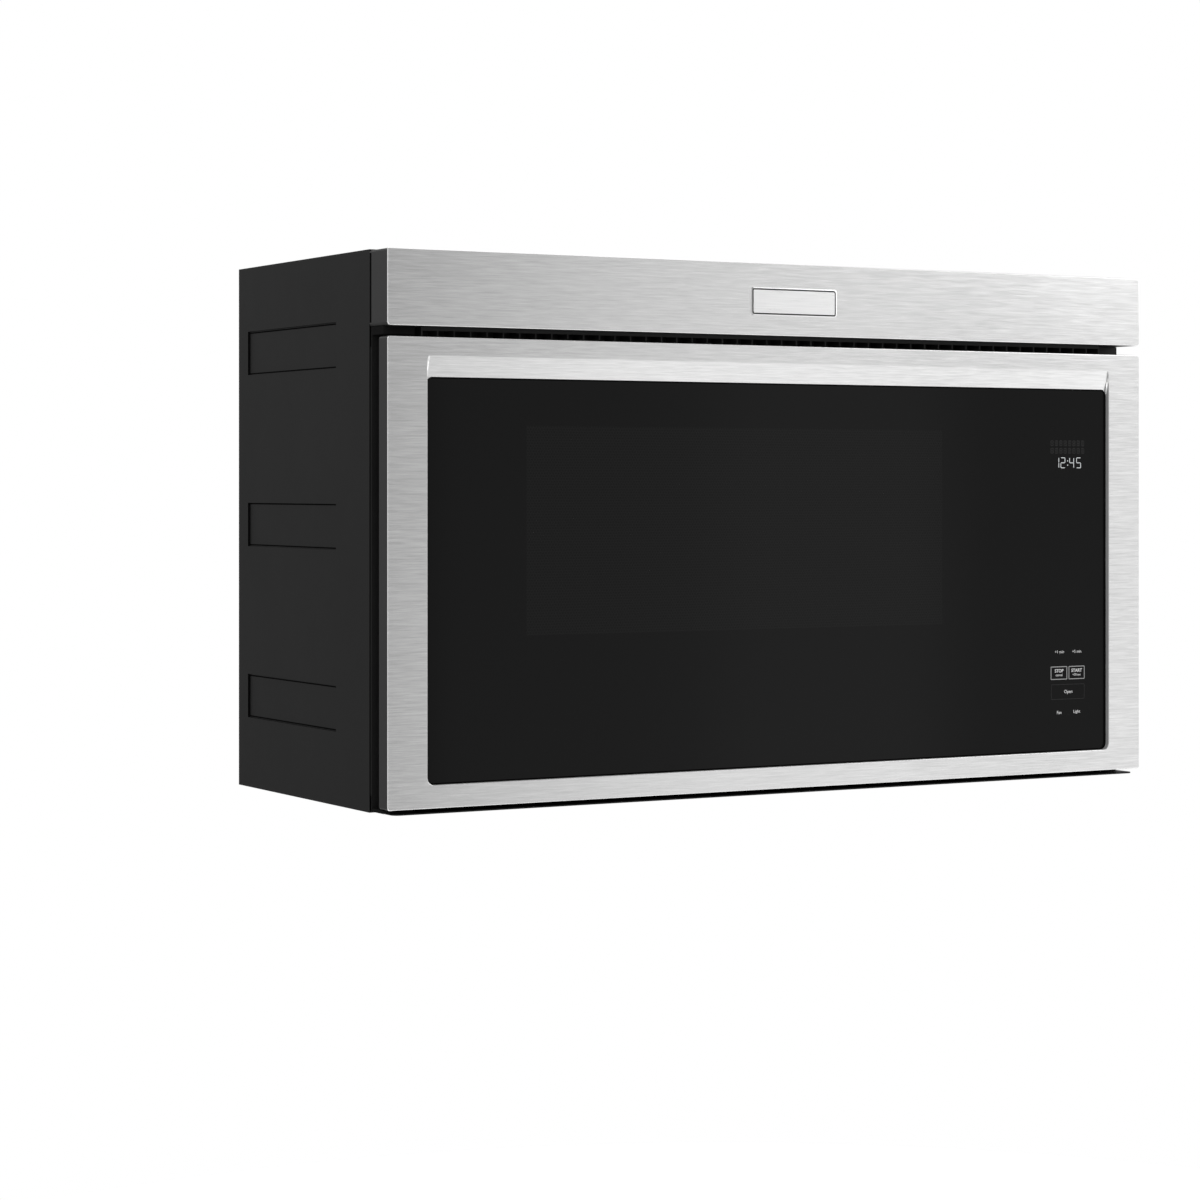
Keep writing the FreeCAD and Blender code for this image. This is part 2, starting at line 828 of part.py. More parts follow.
def oven_cavity():
    """Five-walled steel box with a round well in its floor for the stirrer."""
    wall = dim.cavity_sheet
    body = new_body("oven_cavity_body")
    outer = rectangle((cavity_left - wall, cavity_right + wall),
                      (dim.cavity_low - wall, cavity_high + wall))
    inner = rectangle((cavity_left, cavity_right), (dim.cavity_low, cavity_high))
    pad(body, "y", [outer], (plate_back, cavity_rear + wall))
    pocket(body, "y", [inner], (plate_back, cavity_rear))
    well = (cavity_middle, stirrer_y)
    pad(body, "z", [(*well, chamber_radius + wall)], (guide_high, dim.cavity_low - wall))
    pocket(body, "z", [(*well, chamber_radius)], (chamber_low, dim.cavity_low))
    pocket(body, "z", [(*well, dim.shaft_hole_radius)], (guide_high, chamber_low))
    finish("oven_cavity", body)


def ceramic_floor():
    gap = dim.floor_gap
    finish("ceramic_floor", block(
        "ceramic_floor_plate",
        (cavity_left + gap, cavity_right - gap),
        (plate_back + gap, cavity_rear - gap),
        (dim.cavity_low, dim.cavity_low + dim.floor_thickness)))


def waveguide():
    """Rectangular tube from the magnetron to the stirrer well."""
    wall = dim.guide_sheet
    left, right = cavity_middle - dim.guide_left, half_width - dim.guide_right_space
    outer = block("guide_outer", (left, right), guide_y, (guide_low, guide_high))
    inner = block("guide_inner", (left + wall, right - wall), (guide_y[0] + wall, guide_y[1] - wall),
                  (guide_low + wall, guide_high - wall))
    through = rod("guide_shaft_hole", "z", (cavity_middle, stirrer_y), dim.shaft_hole_radius,
                  (guide_low, guide_high))
    antenna = rod("guide_antenna_hole", "z", (magnetron_x, stirrer_y),
                  dim.antenna_radius + dim.floor_gap, (guide_high - wall, guide_high))
    finish("waveguide", carve("waveguide_tube", outer, [inner, through, antenna]))


def stirrer():
    """Slotted disc on a plastic shaft, and the small gear motor that turns it."""
    centre = (cavity_middle, stirrer_y)
    disc_low = chamber_low + dim.stirrer_lift
    disc_high = disc_low + dim.stirrer_sheet
    body = new_body("stirrer_body")
    pad(body, "z", [(*centre, stirrer_radius),
                    (*centre, dim.stirrer_shaft_radius)], (disc_low, disc_high))
    reach = dim.slot_reach
    length, width = dim.slot_length / 2, dim.slot_width / 2
    x, y = centre
    slots = [rectangle((x + reach - width, x + reach + width), (y - length, y + length)),
             rectangle((x - reach - width, x - reach + width), (y - length, y + length)),
             rectangle((x - length, x + length), (y + reach - width, y + reach + width))]
    pocket(body, "z", slots, (disc_low, disc_high))
    finish("stirrer_antenna", body)

    motor_high = guide_low
    motor_low = motor_high - dim.stirrer_motor_height
    shaft_low = motor_high - dim.shaft_engagement
    collar = dim.stirrer_shaft_radius + dim.cavity_sheet
    finish("stirrer_shaft", join("stirrer_shaft_rod", [
        rod("stirrer_shaft_core", "z", centre, dim.stirrer_shaft_radius, (shaft_low, disc_high)),
        rod("stirrer_shaft_collar", "z", centre, collar, (disc_low - dim.floor_thickness, disc_low))]))

    can = rod("stirrer_can", "z", centre, dim.stirrer_motor_radius, (motor_low, motor_high))
    ears = block("stirrer_ears", (x - dim.stirrer_ear_reach, x + dim.stirrer_ear_reach),
                 (y - dim.antenna_radius, y + dim.antenna_radius),
                 (motor_high - dim.guide_sheet, motor_high))
    bore = rod("stirrer_motor_bore", "z", centre, dim.stirrer_shaft_radius + dim.shaft_clearance,
               (shaft_low - dim.shaft_clearance, motor_high))
    finish("stirrer_motor", carve("stirrer_motor_cut", join("stirrer_motor_outer", [can, ears]), [bore]))


def magnetron():
    """Yoke with cooling fins round the anode, antenna into the waveguide, plug on top."""
    x, y = magnetron_x, stirrer_y
    half = dim.magnetron_width / 2
    low = guide_high
    flange_top = low + dim.flange_sheet
    high = magnetron_body_high
    wall = dim.yoke_sheet
    yoke = [
        block("yoke_low", (x - half, x + half), (y - half, y + half), (flange_top, flange_top + wall)),
        block("yoke_high", (x - half, x + half), (y - half, y + half), (high - wall, high)),
        block("yoke_left", (x - half, x - half + wall), (y - half, y + half), (flange_top, high)),
        block("yoke_right", (x + half - wall, x + half), (y - half, y + half), (flange_top, high)),
        block("flange", (x - half, x + half), (y - half, y + half), (low, flange_top)),
        rod("antenna", "z", (x, y), dim.antenna_radius, (low - dim.antenna_length, low)),
        rod("anode", "z", (x, y), dim.anode_radius, (flange_top, high)),
        block("plug", (x - half / 2, x + half / 2), (y - half / 3, y + half / 3),
              (high, magnetron_high)),
    ]
    inner_low, inner_high = flange_top + wall, high - wall
    pitch = (inner_high - inner_low) / (dim.fin_count + 1)
    for index in range(int(SIZES["fin_count"])):
        level = inner_low + pitch * (index + 1)
        yoke.append(block(f"fin_{index}", (x - half + wall, x + half - wall),
                          (y - half + wall, y + half - wall), (level, level + dim.fin_sheet)))
    finish("magnetron", join("magnetron_set", yoke))


def transformer():
    """Laminated core on a foot plate, with the two windings bulging front and back."""
    x = half_width - dim.transformer_inset
    half = dim.transformer_width / 2
    rear = rear_panel_front - dim.transformer_rear_gap
    y = (rear - dim.transformer_length, rear)
    foot_high = dim.pan_sheet + dim.transformer_foot
    high = foot_high + dim.transformer_height
    middle = foot_high + dim.transformer_height / 2
    inset = dim.coil_overhang
    core = block("core", (x - half, x + half), (y[0] + inset, y[1] - inset), (foot_high, high))
    foot = block("core_foot", (x - half, x + half), y, (dim.pan_sheet, foot_high))
    coils = [block(f"coil_{name}", (x - half + dim.coil_inset, x + half - dim.coil_inset), y, span)
             for name, span in (("low", (foot_high + inset, middle - dim.coil_gap / 2)),
                                ("high", (middle + dim.coil_gap / 2, high - inset)))]
    finish("hv_transformer", join("hv_transformer_set", [core, foot] + coils))


def capacitor():
    """Oval can standing on the base pan in a strap clamp, with two blade terminals."""
    x = half_width - dim.capacitor_inset
    y = front + dim.capacitor_depth + dim.capacitor_thickness / 2
    radius = dim.capacitor_thickness / 2
    reach = dim.capacitor_width / 2 - radius
    low = dim.pan_sheet
    high = low + dim.capacitor_height
    can = [rod("can_left", "z", (x - reach, y), radius, (low, high)),
           rod("can_right", "z", (x + reach, y), radius, (low, high)),
           block("can_middle", (x - reach, x + reach), (y - radius, y + radius), (low, high))]
    half_sheet, half_tab = dim.terminal_sheet / 2, dim.terminal_width / 2
    for name, side in (("left", x - reach), ("right", x + reach)):
        can.append(block(f"terminal_{name}", (side - half_sheet, side + half_sheet),
                         (y - half_tab, y + half_tab),
                         (high, high + dim.terminal_height)))
    finish("hv_capacitor", join("hv_capacitor_set", can))

    wall = dim.clamp_sheet
    span = (low, low + dim.clamp_height)
    outer = [rod("clamp_left", "z", (x - reach, y), radius + wall, span),
             rod("clamp_right", "z", (x + reach, y), radius + wall, span),
             block("clamp_middle", (x - reach, x + reach), (y - radius - wall, y + radius + wall), span),
             block("clamp_foot", (x - reach, x + reach), (y + radius, y + radius + dim.clamp_height),
                   (low, low + wall))]
    inner = [rod("clamp_left_bore", "z", (x - reach, y), radius, span),
             rod("clamp_right_bore", "z", (x + reach, y), radius, span),
             block("clamp_middle_bore", (x - reach, x + reach), (y - radius, y + radius), span)]
    finish("capacitor_clamp", carve("capacitor_clamp_cut", join("clamp_outer", outer), inner))


def power_board():
    """Board on stand-offs from the cavity's right wall, with relays and a small transformer."""
    face = cavity_outer_right + dim.board_standoff
    back = face + dim.board_sheet
    y = (front + dim.board_front, front + dim.board_front + dim.board_length)
    z = (magnetron_high + dim.board_low_gap, cavity_outer_high - dim.board_high_gap)
    pieces = [block("board", (face, back), y, z)]
    edge = dim.board_standoff
    for index, spot in enumerate(rectangle((y[0] + edge, y[1] - edge), (z[0] + edge, z[1] - edge))):
        pieces.append(rod(f"standoff_{index}", "x", spot, dim.standoff_radius, (cavity_outer_right, face)))
    for index in range(RELAY_COUNT):
        near = y[0] + dim.relay_start + dim.relay_pitch * index
        pieces.append(block(f"relay_{index}", (back, back + dim.relay_depth), (near, near + dim.relay_width),
                            (z[0] + edge, z[0] + edge + dim.relay_height)))
    top = z[1] - edge
    coil = dim.board_coil_size
    pieces.append(block("board_coil", (back, back + dim.board_coil_depth),
                        (y[0] + edge, y[0] + edge + coil), (top - coil, top)))
    pieces.append(block("board_plug", (back, back + dim.board_plug_depth),
                        (y[1] - edge - dim.board_plug_width, y[1] - edge),
                        (top - dim.board_plug_height, top)))
    finish("power_board", join("power_board_set", pieces))


def cooling_fan():
    """Square fan beside the cavity wall that blows forward through the magnetron's fins."""
    left = cavity_outer_right
    x = (left, left + dim.fan_size)
    near = stirrer_y + dim.magnetron_width / 2 + dim.fan_gap
    y = (near, near + dim.fan_thickness)
    z = (dim.fan_low, dim.fan_low + dim.fan_size)
    centre = (x[0] + dim.fan_size / 2, z[0] + dim.fan_size / 2)
    frame = block("fan_frame", x, y, z)
    bored = carve("fan_bored", frame, [rod("fan_bore", "y", centre, dim.fan_bore_radius, y)])
    strut = dim.fan_strut
    spider = [rod("fan_motor", "y", centre, dim.fan_hub_radius, (y[1] - 2 * strut, y[1])),
              block("fan_strut_flat", x, (y[1] - strut, y[1]), (centre[1] - strut, centre[1] + strut)),
              block("fan_strut_tall", (centre[0] - strut, centre[0] + strut), (y[1] - strut, y[1]), z)]
    shaft_reach = y[1] - dim.fan_pin_length
    pin = rod("fan_pin", "y", centre, dim.fan_shaft_radius, (shaft_reach, y[1]))
    finish("cooling_fan", join("cooling_fan_set", [bored] + spider + [pin]))

    hub_y = (y[0] + strut, y[1] - 3 * strut)
    fan_impeller(centre, hub_y, shaft_reach)


def fan_impeller(centre, hub_y, shaft_reach):
    """Hub with pitched blades, bored for the fan's pin; its shape is made about the hub's middle."""
    half = (hub_y[1] - hub_y[0]).value / 2
    middle = (hub_y[0] + hub_y[1]) / 2
    hub_radius = dim.fan_hub_radius.value
    root, tip = dim.fan_blade_root.value, (dim.fan_bore_radius - dim.fan_tip_gap).value
    chord, thick = dim.fan_blade_chord.value, dim.fan_blade_sheet.value
    along_y = Vector(0, 1, 0)
    shape = Part.makeCylinder(hub_radius, 2 * half, Vector(0, -half, 0), along_y)
    count = int(SIZES["fan_blade_count"])
    for index in range(count):
        blade = Part.makeBox(tip - root, thick, chord, Vector(root, -thick / 2, -chord / 2))
        blade.rotate(Vector(), Vector(1, 0, 0), FAN_PITCH)
        blade.rotate(Vector(), along_y, 360 * index / count)
        shape = shape.fuse(blade)
    bore_start = (shaft_reach - dim.fan_bore_end_gap - middle).value
    bore_radius = (dim.fan_shaft_radius + dim.shaft_clearance).value
    bore = Part.makeCylinder(bore_radius, half - bore_start, Vector(0, bore_start, 0), along_y)
    impeller = doc.addObject("Part::Feature", "fan_impeller_set")
    impeller.Shape = shape.cut(bore)
    for axis, place in zip("xyz", (centre[0], middle, centre[1])):
        bind(impeller, f"Placement.Base.{axis}", place)
    finish("fan_impeller", impeller)


# ---------------------------------------------------------------- vent blower and exhaust


def blower_housing():
    """Two scroll chambers either side of the motor bay, open at the inlets and the top."""
    wall = dim.blower_wall
    half = dim.blower_half_width
    y = (blower_front, blower_rear)
    z = (blower_low, blower_high)
    shell = block("blower_shell", (-half, half), y, z)
    bay = dim.blower_motor_length / 2 + dim.wheel_gap
    inner_y, inner_z = (y[0] + wall, y[1] - wall), (z[0] + wall, z[1])
    tools = [block("blower_bay", (-bay, bay), inner_y, inner_z)]
    for name, span in zip(("left", "right"), mirror_spans(bay + wall, half - wall)):
        tools.append(block(f"blower_chamber_{name}", span, inner_y, inner_z))
    tools.append(rod("blower_inlets", "x", (blower_y, blower_z), dim.blower_inlet_radius, (-half, half)))
    finish("blower_housing", carve("blower_housing_cut", shell, tools))


def blower_rotor():
    """Motor with a shaft out of both ends, and a squirrel-cage wheel on each end."""
    centre = (blower_y, blower_z)
    length = dim.blower_motor_length / 2
    gap = dim.shaft_clearance
    can = rod("blower_can", "x", centre, dim.blower_motor_radius, (-length, length))
    saddle = block("blower_saddle", (-length / 2, length / 2),
                   (blower_y - dim.blower_motor_radius / 2, blower_y + dim.blower_motor_radius / 2),
                   (blower_low + dim.blower_wall, blower_z))
    bore = rod("blower_motor_bore", "x", centre, dim.blower_shaft_radius + gap, (-length, length))
    finish("blower_motor", carve("blower_motor_cut", join("blower_motor_outer", [can, saddle]), [bore]))

    bay = length + dim.wheel_gap + dim.blower_wall
    near = bay + dim.wheel_gap
    far = near + dim.wheel_length
    finish("blower_shaft", rod("blower_shaft_rod", "x", centre, dim.blower_shaft_radius,
                               (-near - dim.wheel_hub_length, near + dim.wheel_hub_length)))
    for name, side in (("left", -1), ("right", 1)):
        blower_wheel(name, side, near, far)


def blower_wheel(name, side, near, far):
    """Cage of straight blades between a disc at the motor end and an end ring, about its shaft."""
    wall = dim.wheel_sheet
    bore = dim.blower_shaft_radius
    outer, inner = dim.wheel_radius, dim.wheel_radius - dim.blade_chord
    hub = bore + dim.wheel_hub_wall

    def span(low, high):
        return sorted((side * low, side * high), key=lambda size: size.value)

    body = new_body(f"wheel_{name}_body")
    pad(body, "x", [(0, 0, outer), (0, 0, bore)], span(near, near + wall))
    pad(body, "x", [(0, 0, hub), (0, 0, bore)], span(near, near + dim.wheel_hub_length))
    blade = rectangle((inner + wall / 4, outer - wall / 4), (-wall / 2, wall / 2))
    first = pad(body, "x", [blade], span(near + wall / 2, far - wall / 2))
    repeat_around(body, first, "x", int(SIZES["wheel_blades"]))
    pad(body, "x", [(0, 0, outer), (0, 0, inner)], span(far - wall, far))
    bind(body, "Placement.Base.y", blower_y)
    bind(body, "Placement.Base.z", blower_z)
    finish(f"blower_wheel_{name}", body)


def exhaust():
    """Collar under the case top and the damper flap that the outgoing air lifts."""
    wall, half = dim.collar_wall, dim.outlet_width / 2
    low, high = collar_low, dim.overall_height
    y = outlet_y
    pin_z = low + dim.flap_pin_radius + 2 * wall
    pin_y = y[1] - wall - dim.flap_pin_radius - dim.flap_gap
    body = new_body("exhaust_collar_body")
    x_out, x_in = (-half, half), (-half + wall, half - wall)
    y_in = (y[0] + wall, y[1] - wall)
    pad(body, "z", [rectangle(x_out, y), rectangle(x_in, y_in)], (low, high))
    flange = dim.collar_flange
    top = case_top_inside
    pad(body, "z", [rectangle((-half - flange, half + flange), (y[0] - flange, y[1])),
                    rectangle(x_in, y_in)], (top - wall, top))
    ledge = y[0] + wall + dim.ledge_width
    pad(body, "z", [rectangle(x_in, (y[0] + wall, ledge))],
        (pin_z - dim.flap_sheet / 2 - dim.flap_gap - wall, pin_z - dim.flap_sheet / 2 - dim.flap_gap))
    pin_hole = (pin_y, pin_z, dim.flap_pin_radius + dim.shaft_clearance)
    for side in mirror_spans(half - wall, half):
        pocket(body, "x", [pin_hole], side)
    finish("exhaust_collar", body)

    reach = half - wall - dim.flap_gap
    thick = dim.flap_sheet / 2
    leaf = block("flap_leaf", (-reach, reach), (y[0] + wall + dim.flap_gap, pin_y),
                 (pin_z - thick, pin_z + thick))
    pin = rod("flap_pin", "x", (pin_y, pin_z), dim.flap_pin_radius, (-half, half))
    finish("damper_flap", join("damper_flap_set", [leaf, pin]))


# ---------------------------------------------------------------- vent panel and air slot


def vent_panel():
    """Stainless face over a plastic frame, with a plain plate in the middle."""
    body = new_body("vent_panel_body")
    z = (panel_low, panel_high)
    pad(body, "y", [rectangle((-half_width, half_width), z)], (front, front + dim.skin))
    round_corners(body, "y", dim.panel_corner, [(-half_width, z[0]), (half_width, z[0])])
    finish("vent_panel", body)

    wall = dim.fascia_wall
    y = (front + dim.skin, case_front)
    frame = new_body("vent_frame_body")
    pad(frame, "y", [rectangle((-half_width, half_width), z)], y)
    round_corners(frame, "y", dim.panel_corner, [(-half_width, z[0]), (half_width, z[0])])
    pocket(frame, "y", [rectangle((-half_width + wall, half_width - wall), (z[0] + wall, z[1] - wall))],
           (y[0] + wall, y[1]))
    pitch = dim.louvre_fin_pitch * 2
    reach = half_width - dim.louvre_side_inset - dim.louvre_end_margin
    count = 2 * int(reach.value / pitch.value)
    left = -pitch * count / 2 + wall
    slot = rectangle((left, left + pitch - 2 * wall),
                     (front + dim.louvre_front + 2 * dim.louvre_wall, plate_face - wall))
    first = pocket(frame, "z", [slot], (z[0], z[0] + wall))
    repeat_across(frame, first, "x", pitch, count)
    finish("vent_frame", frame)

    blank = new_body("blank_plate_body")
    x = (dim.blank_middle - dim.blank_width / 2, dim.blank_middle + dim.blank_width / 2)
    level = (panel_low + dim.blank_rise, panel_low + dim.blank_rise + dim.blank_height)
    pad(blank, "y", [rectangle(x, level)], (front - dim.blank_thickness, front))
    round_corners(blank, "y", dim.blank_corner, rectangle(x, level))
    finish("blank_plate", blank)


def charcoal_filter():
    """Charcoal cassette that stands on the front plate's shelf behind the vent frame."""
    low = panel_low - dim.seat_gap
    half = dim.filter_width / 2
    finish("charcoal_filter", block("charcoal_cassette", (-half, half),
                                    (case_front, case_front + dim.filter_thickness),
                                    (low, low + dim.filter_height)))


def exhaust_louvre():
    """Fins in the slot under the vent panel, where recirculated air comes out."""
    wall = dim.louvre_wall
    half = half_width - dim.louvre_side_inset
    y = (front + dim.louvre_front, plate_face - dim.seat_gap)
    z = (louvre_low, panel_low)
    pieces = [block("louvre_back", (-half, half), (y[1] - wall, y[1]), z),
              block("louvre_bar", (-half, half), (y[0], y[0] + wall), (z[1] - 2 * wall, z[1])),
              block("louvre_left", (-half, -half + wall), y, z),
              block("louvre_right", (half - wall, half), y, z)]
    count = int(half.value / dim.louvre_fin_pitch.value)
    for index in range(1 - count, count):
        middle = dim.louvre_fin_pitch * index
        pieces.append(block(f"louvre_fin_{index + count}",
                            (middle - dim.louvre_fin / 2, middle + dim.louvre_fin / 2), y, z))
    finish("exhaust_louvre", join("exhaust_louvre_set", pieces))


# ---------------------------------------------------------------- underside


def grease_filter(name, middle):
    """Rimmed aluminium mesh that tilts down about its rear edge, with a pull tab in front."""
    half, rail = dim.grease_width / 2, dim.grease_rail
    x, y = (middle - half, middle + half), (grease_front, grease_rear)
    inner_x, inner_y = (x[0] + rail, x[1] - rail), (y[0] + rail, y[1] - rail)
    body = new_body(f"grease_{name}_body")
    pad(body, "z", [rectangle(x, y), rectangle(inner_x, inner_y)], (as_size(0), dim.grease_thickness))
    tab = dim.tab_width / 2
    pad(body, "z", [rectangle((middle - tab, middle + tab), (inner_y[0], inner_y[0] + dim.tab_reach))],
        (as_size(0), dim.pan_sheet))
    finish(f"grease_frame_{name}", body)
    low = (dim.grease_thickness - dim.grease_mesh) / 2
    finish(f"grease_mesh_{name}", block(f"grease_{name}_pad", inner_x, inner_y,
                                        (low, low + dim.grease_mesh)))


def cooktop_light(name, middle):
    """Stepped lens that drops into the base pan, and the lamp module behind it."""
    half, step = dim.lens_width / 2, dim.lens_step
    x = (middle - half, middle + half)
    y = (front + dim.lens_front, front + dim.lens_front + dim.lens_length)
    flange_high = dim.pan_sheet + dim.lens_thickness
    inner_x, inner_y = (x[0] + step, x[1] - step), (y[0] + step, y[1] - step)
    finish(f"cooktop_lens_{name}", join(f"lens_{name}_set", [
        block(f"lens_{name}_flange", x, y, (dim.pan_sheet, flange_high)),
        block(f"lens_{name}_window", inner_x, inner_y, (as_size(0), flange_high))]))
    plug = dim.lamp_plug_width / 2
    finish(f"cooktop_lamp_{name}", join(f"lamp_{name}_set", [
        block(f"lamp_{name}_box", inner_x, inner_y, (flange_high, flange_high + dim.lamp_height)),
        block(f"lamp_{name}_plug", (middle - plug, middle + plug),
              (inner_y[1], inner_y[1] + dim.lamp_plug_reach),
              (flange_high + step, flange_high + dim.lamp_height - step))]))


def cavity_lamp():
    """Small lamp box on the cavity's right wall, with its cover against the sheet."""
    size = dim.cavity_lamp_size
    y = front + dim.cavity_lamp_depth
    low = cavity_high - dim.cavity_lamp_drop
    wall, rim = cavity_outer_right, dim.cavity_lamp_rim
    finish("cavity_lamp", join("cavity_lamp_set", [
        block("cavity_lamp_flange", (wall, wall + dim.cavity_sheet * 2), (y, y + size), (low, low + size)),
        block("cavity_lamp_box", (wall, wall + dim.cavity_lamp_box), (y + rim, y + size - rim),
              (low + rim, low + size - rim))]))


# ---------------------------------------------------------------- latch


def latch_board():
    """Bracket behind the latch slots; it carries both switches and guides the slider."""
    x = (latch_x - dim.latch_board_width / 2, latch_x + dim.latch_board_width / 2)
    y = (plate_back, plate_back + dim.latch_board_depth)
    wall = dim.latch_board_wall
    low = dim.latch_low - dim.latch_board_reach
    high = dim.latch_low + dim.latch_pitch + dim.latch_board_reach
    body = new_body("latch_board_body")
    pad(body, "z", [rectangle(x, y)], (low, high))
    for middle in latch_heights():
        reach = dim.slot_half_height + dim.slider_stroke
        pocket(body, "y", [rectangle((x[0] + wall, x[1] - wall), (middle - reach, middle + reach))],
               (y[0], y[1] - wall))
    middle = dim.latch_low + dim.latch_pitch / 2
    slider_half = dim.latch_pitch / 4
    gap = dim.button_gap
    channel = rectangle((latch_x - dim.slider_width / 2 - gap, latch_x + dim.slider_width / 2 + gap),
                        (middle - slider_half - gap, middle + slider_half + dim.slider_stroke + gap))
    pocket(body, "y", [channel], (y[0], y[0] + dim.slider_width + gap))
    finish("latch_board", body)
    slider = block("slider_bar", (latch_x - dim.slider_width / 2, latch_x + dim.slider_width / 2),
                   (y[0] + gap, y[0] + dim.slider_width), (middle - slider_half, middle + slider_half))
    finish("release_slider", slider)


def interlock_switch(name, middle):
    """Micro switch under each hook slot; its button meets the hook's tip."""
    x = (latch_x - dim.switch_width / 2, latch_x + dim.switch_width / 2)
    rear = plate_back + dim.latch_board_depth - dim.latch_board_wall
    y = (rear - dim.switch_depth, rear)
    pocket_low = middle - dim.slot_half_height - dim.slider_stroke
    hook_low = middle - dim.hook_thickness_up / 2
    switch_high = hook_low - dim.button_gap - dim.button_stroke - dim.pan_sheet
    half = dim.button_size / 2
    centre = ((x[0] + x[1]) / 2, hook_tip_y() - dim.hook_tip / 2)
    gap = dim.shaft_clearance
    button_low = switch_high - dim.button_size
    case = block(f"switch_{name}_case", x, y, (pocket_low, switch_high))
    well = block(f"switch_{name}_well", (centre[0] - half - gap, centre[0] + half + gap),
                 (centre[1] - half - gap, centre[1] + half + gap),
                 (button_low - dim.button_stroke, switch_high))
    finish(f"switch_{name}", carve(f"switch_{name}_cut", case, [well]))
    finish(f"switch_button_{name}", block(
        f"switch_{name}_button", (centre[0] - half, centre[0] + half), (centre[1] - half, centre[1] + half),
        (button_low, hook_low - dim.button_gap)))


def hook_tip_y():
    """Depth of the hooks' tips behind the front plate, with the door shut."""
    return plate_back + dim.latch_board_depth - dim.latch_board_wall - dim.hook_tip


# ---------------------------------------------------------------- hinge


def hinge_bracket(name, block_z, washer_z, pin_z):
    """Block with a washer and a pin that stands in the door's stile."""
    half = dim.bracket_width / 2
    centre = (hinge_x, hinge_y)
    left = -half_width + dim.pan_sheet
    pieces = [block(f"bracket_{name}_block", (left, left + 2 * half),
                    (front + dim.bracket_front, plate_face), block_z),
              rod(f"bracket_{name}_washer", "z", centre, dim.stile_radius - dim.washer_gap, washer_z),
              rod(f"bracket_{name}_pin", "z", centre, dim.hinge_pin_radius, pin_z)]
    finish(f"hinge_bracket_{name}", join(f"bracket_{name}_set", pieces))


def hinge_brackets():
    upper_face = louvre_low + dim.bracket_gap
    hinge_bracket("top", (upper_face, panel_low),
                  (door_high + dim.washer_gap, upper_face),
                  (door_high - dim.hinge_pin_reach, upper_face))
    lower_face = dim.door_low - 2 * dim.washer_gap
    hinge_bracket("bottom", (dim.pan_sheet, lower_face),
                  (lower_face, dim.door_low - dim.washer_gap),
                  (lower_face, dim.door_low + dim.hinge_pin_reach))


def hinge_stile():
    """Round-backed bar down the door's left edge with a bore at each end for the pins."""
    centre = (hinge_x, hinge_y)
    z = (dim.door_low, door_high)
    radius = dim.stile_radius
    web_back = door_web_y()[1]
    bar = [rod("stile_round", "z", centre, radius, z),
           block("stile_flange", (hinge_x - radius, hinge_x + radius), (web_back, hinge_y), z)]
    reach = dim.hinge_pin_reach + dim.washer_gap
    bore = dim.hinge_pin_radius + dim.hinge_clearance
    bores = [rod("stile_bore_low", "z", centre, bore, (z[0], z[0] + reach)),
             rod("stile_bore_high", "z", centre, bore, (z[1] - reach, z[1]))]
    finish("hinge_stile", carve("hinge_stile_cut", join("hinge_stile_outer", bar), bores))


# ---------------------------------------------------------------- door


def glass_x():
    return (-half_width + dim.glass_side_border, half_width - dim.glass_side_border)


def glass_z():
    high = door_high - dim.pocket_top_border - dim.pocket_slope_height
    return (dim.door_low + dim.glass_low_border, high)


def door_web_y():
    """The plastic web that carries the glass from behind."""
    near = front + dim.pocket_depth + dim.glass_thickness
    return (near, near + dim.back_wall)


def around_window(lap):
    """Spans across and up of a rectangle that laps the window by this much all round."""
    return ((window_x[0] - lap, window_x[1] + lap), (window_z[0] - lap, window_z[1] + lap))


def control_spans():
    """Spans across and up of the touch board, in the glass's right margin."""
    right = half_width - dim.control_inset
    low, high = glass_z()
    return ((right - dim.control_width, right),
            (low + dim.control_low_border, high - dim.control_high_border))


def liner_spans():
    """Spans across and up of the liner, from the stile to near the door's right edge."""
    return ((hinge_x + dim.stile_radius, half_width - dim.liner_side_inset),
            (dim.door_low + dim.liner_low_inset, door_high - dim.liner_high_inset))


def door_skin():
    """Stainless sheet with a sunk rim round the glass and a sloped pocket above it."""
    x, z = glass_x(), glass_z()
    slope_top = z[1] + dim.pocket_slope_height
    sheet_size = dim.skin
    depth = front + dim.pocket_depth
    body = new_body("door_skin_body")
    pad(body, "y", [rectangle((-half_width, half_width), (dim.door_low, door_high))], (front, depth))
    rim = [(x[0], z[0]), (x[1], z[0]), (x[1], slope_top), (x[0], slope_top)]
    pocket(body, "y", [rim], (front, depth))
    outer = sheet_size * 2
    relief = [(-half_width, dim.door_low), (half_width, dim.door_low),
              (half_width, door_high), (-half_width, door_high)]
    keep = [(x[0] - outer, z[0] - outer), (x[1] + outer, z[0] - outer),
            (x[1] + outer, slope_top + outer), (x[0] - outer, slope_top + outer)]
    pocket(body, "y", [relief, keep], (front + sheet_size, depth))
    slope = [(front, slope_top), (front + sheet_size, slope_top + sheet_size),
             (depth, z[1] + sheet_size), (depth, z[1]), (depth - sheet_size, z[1])]
    pad(body, "x", [slope], x)
    finish("door_skin", body)


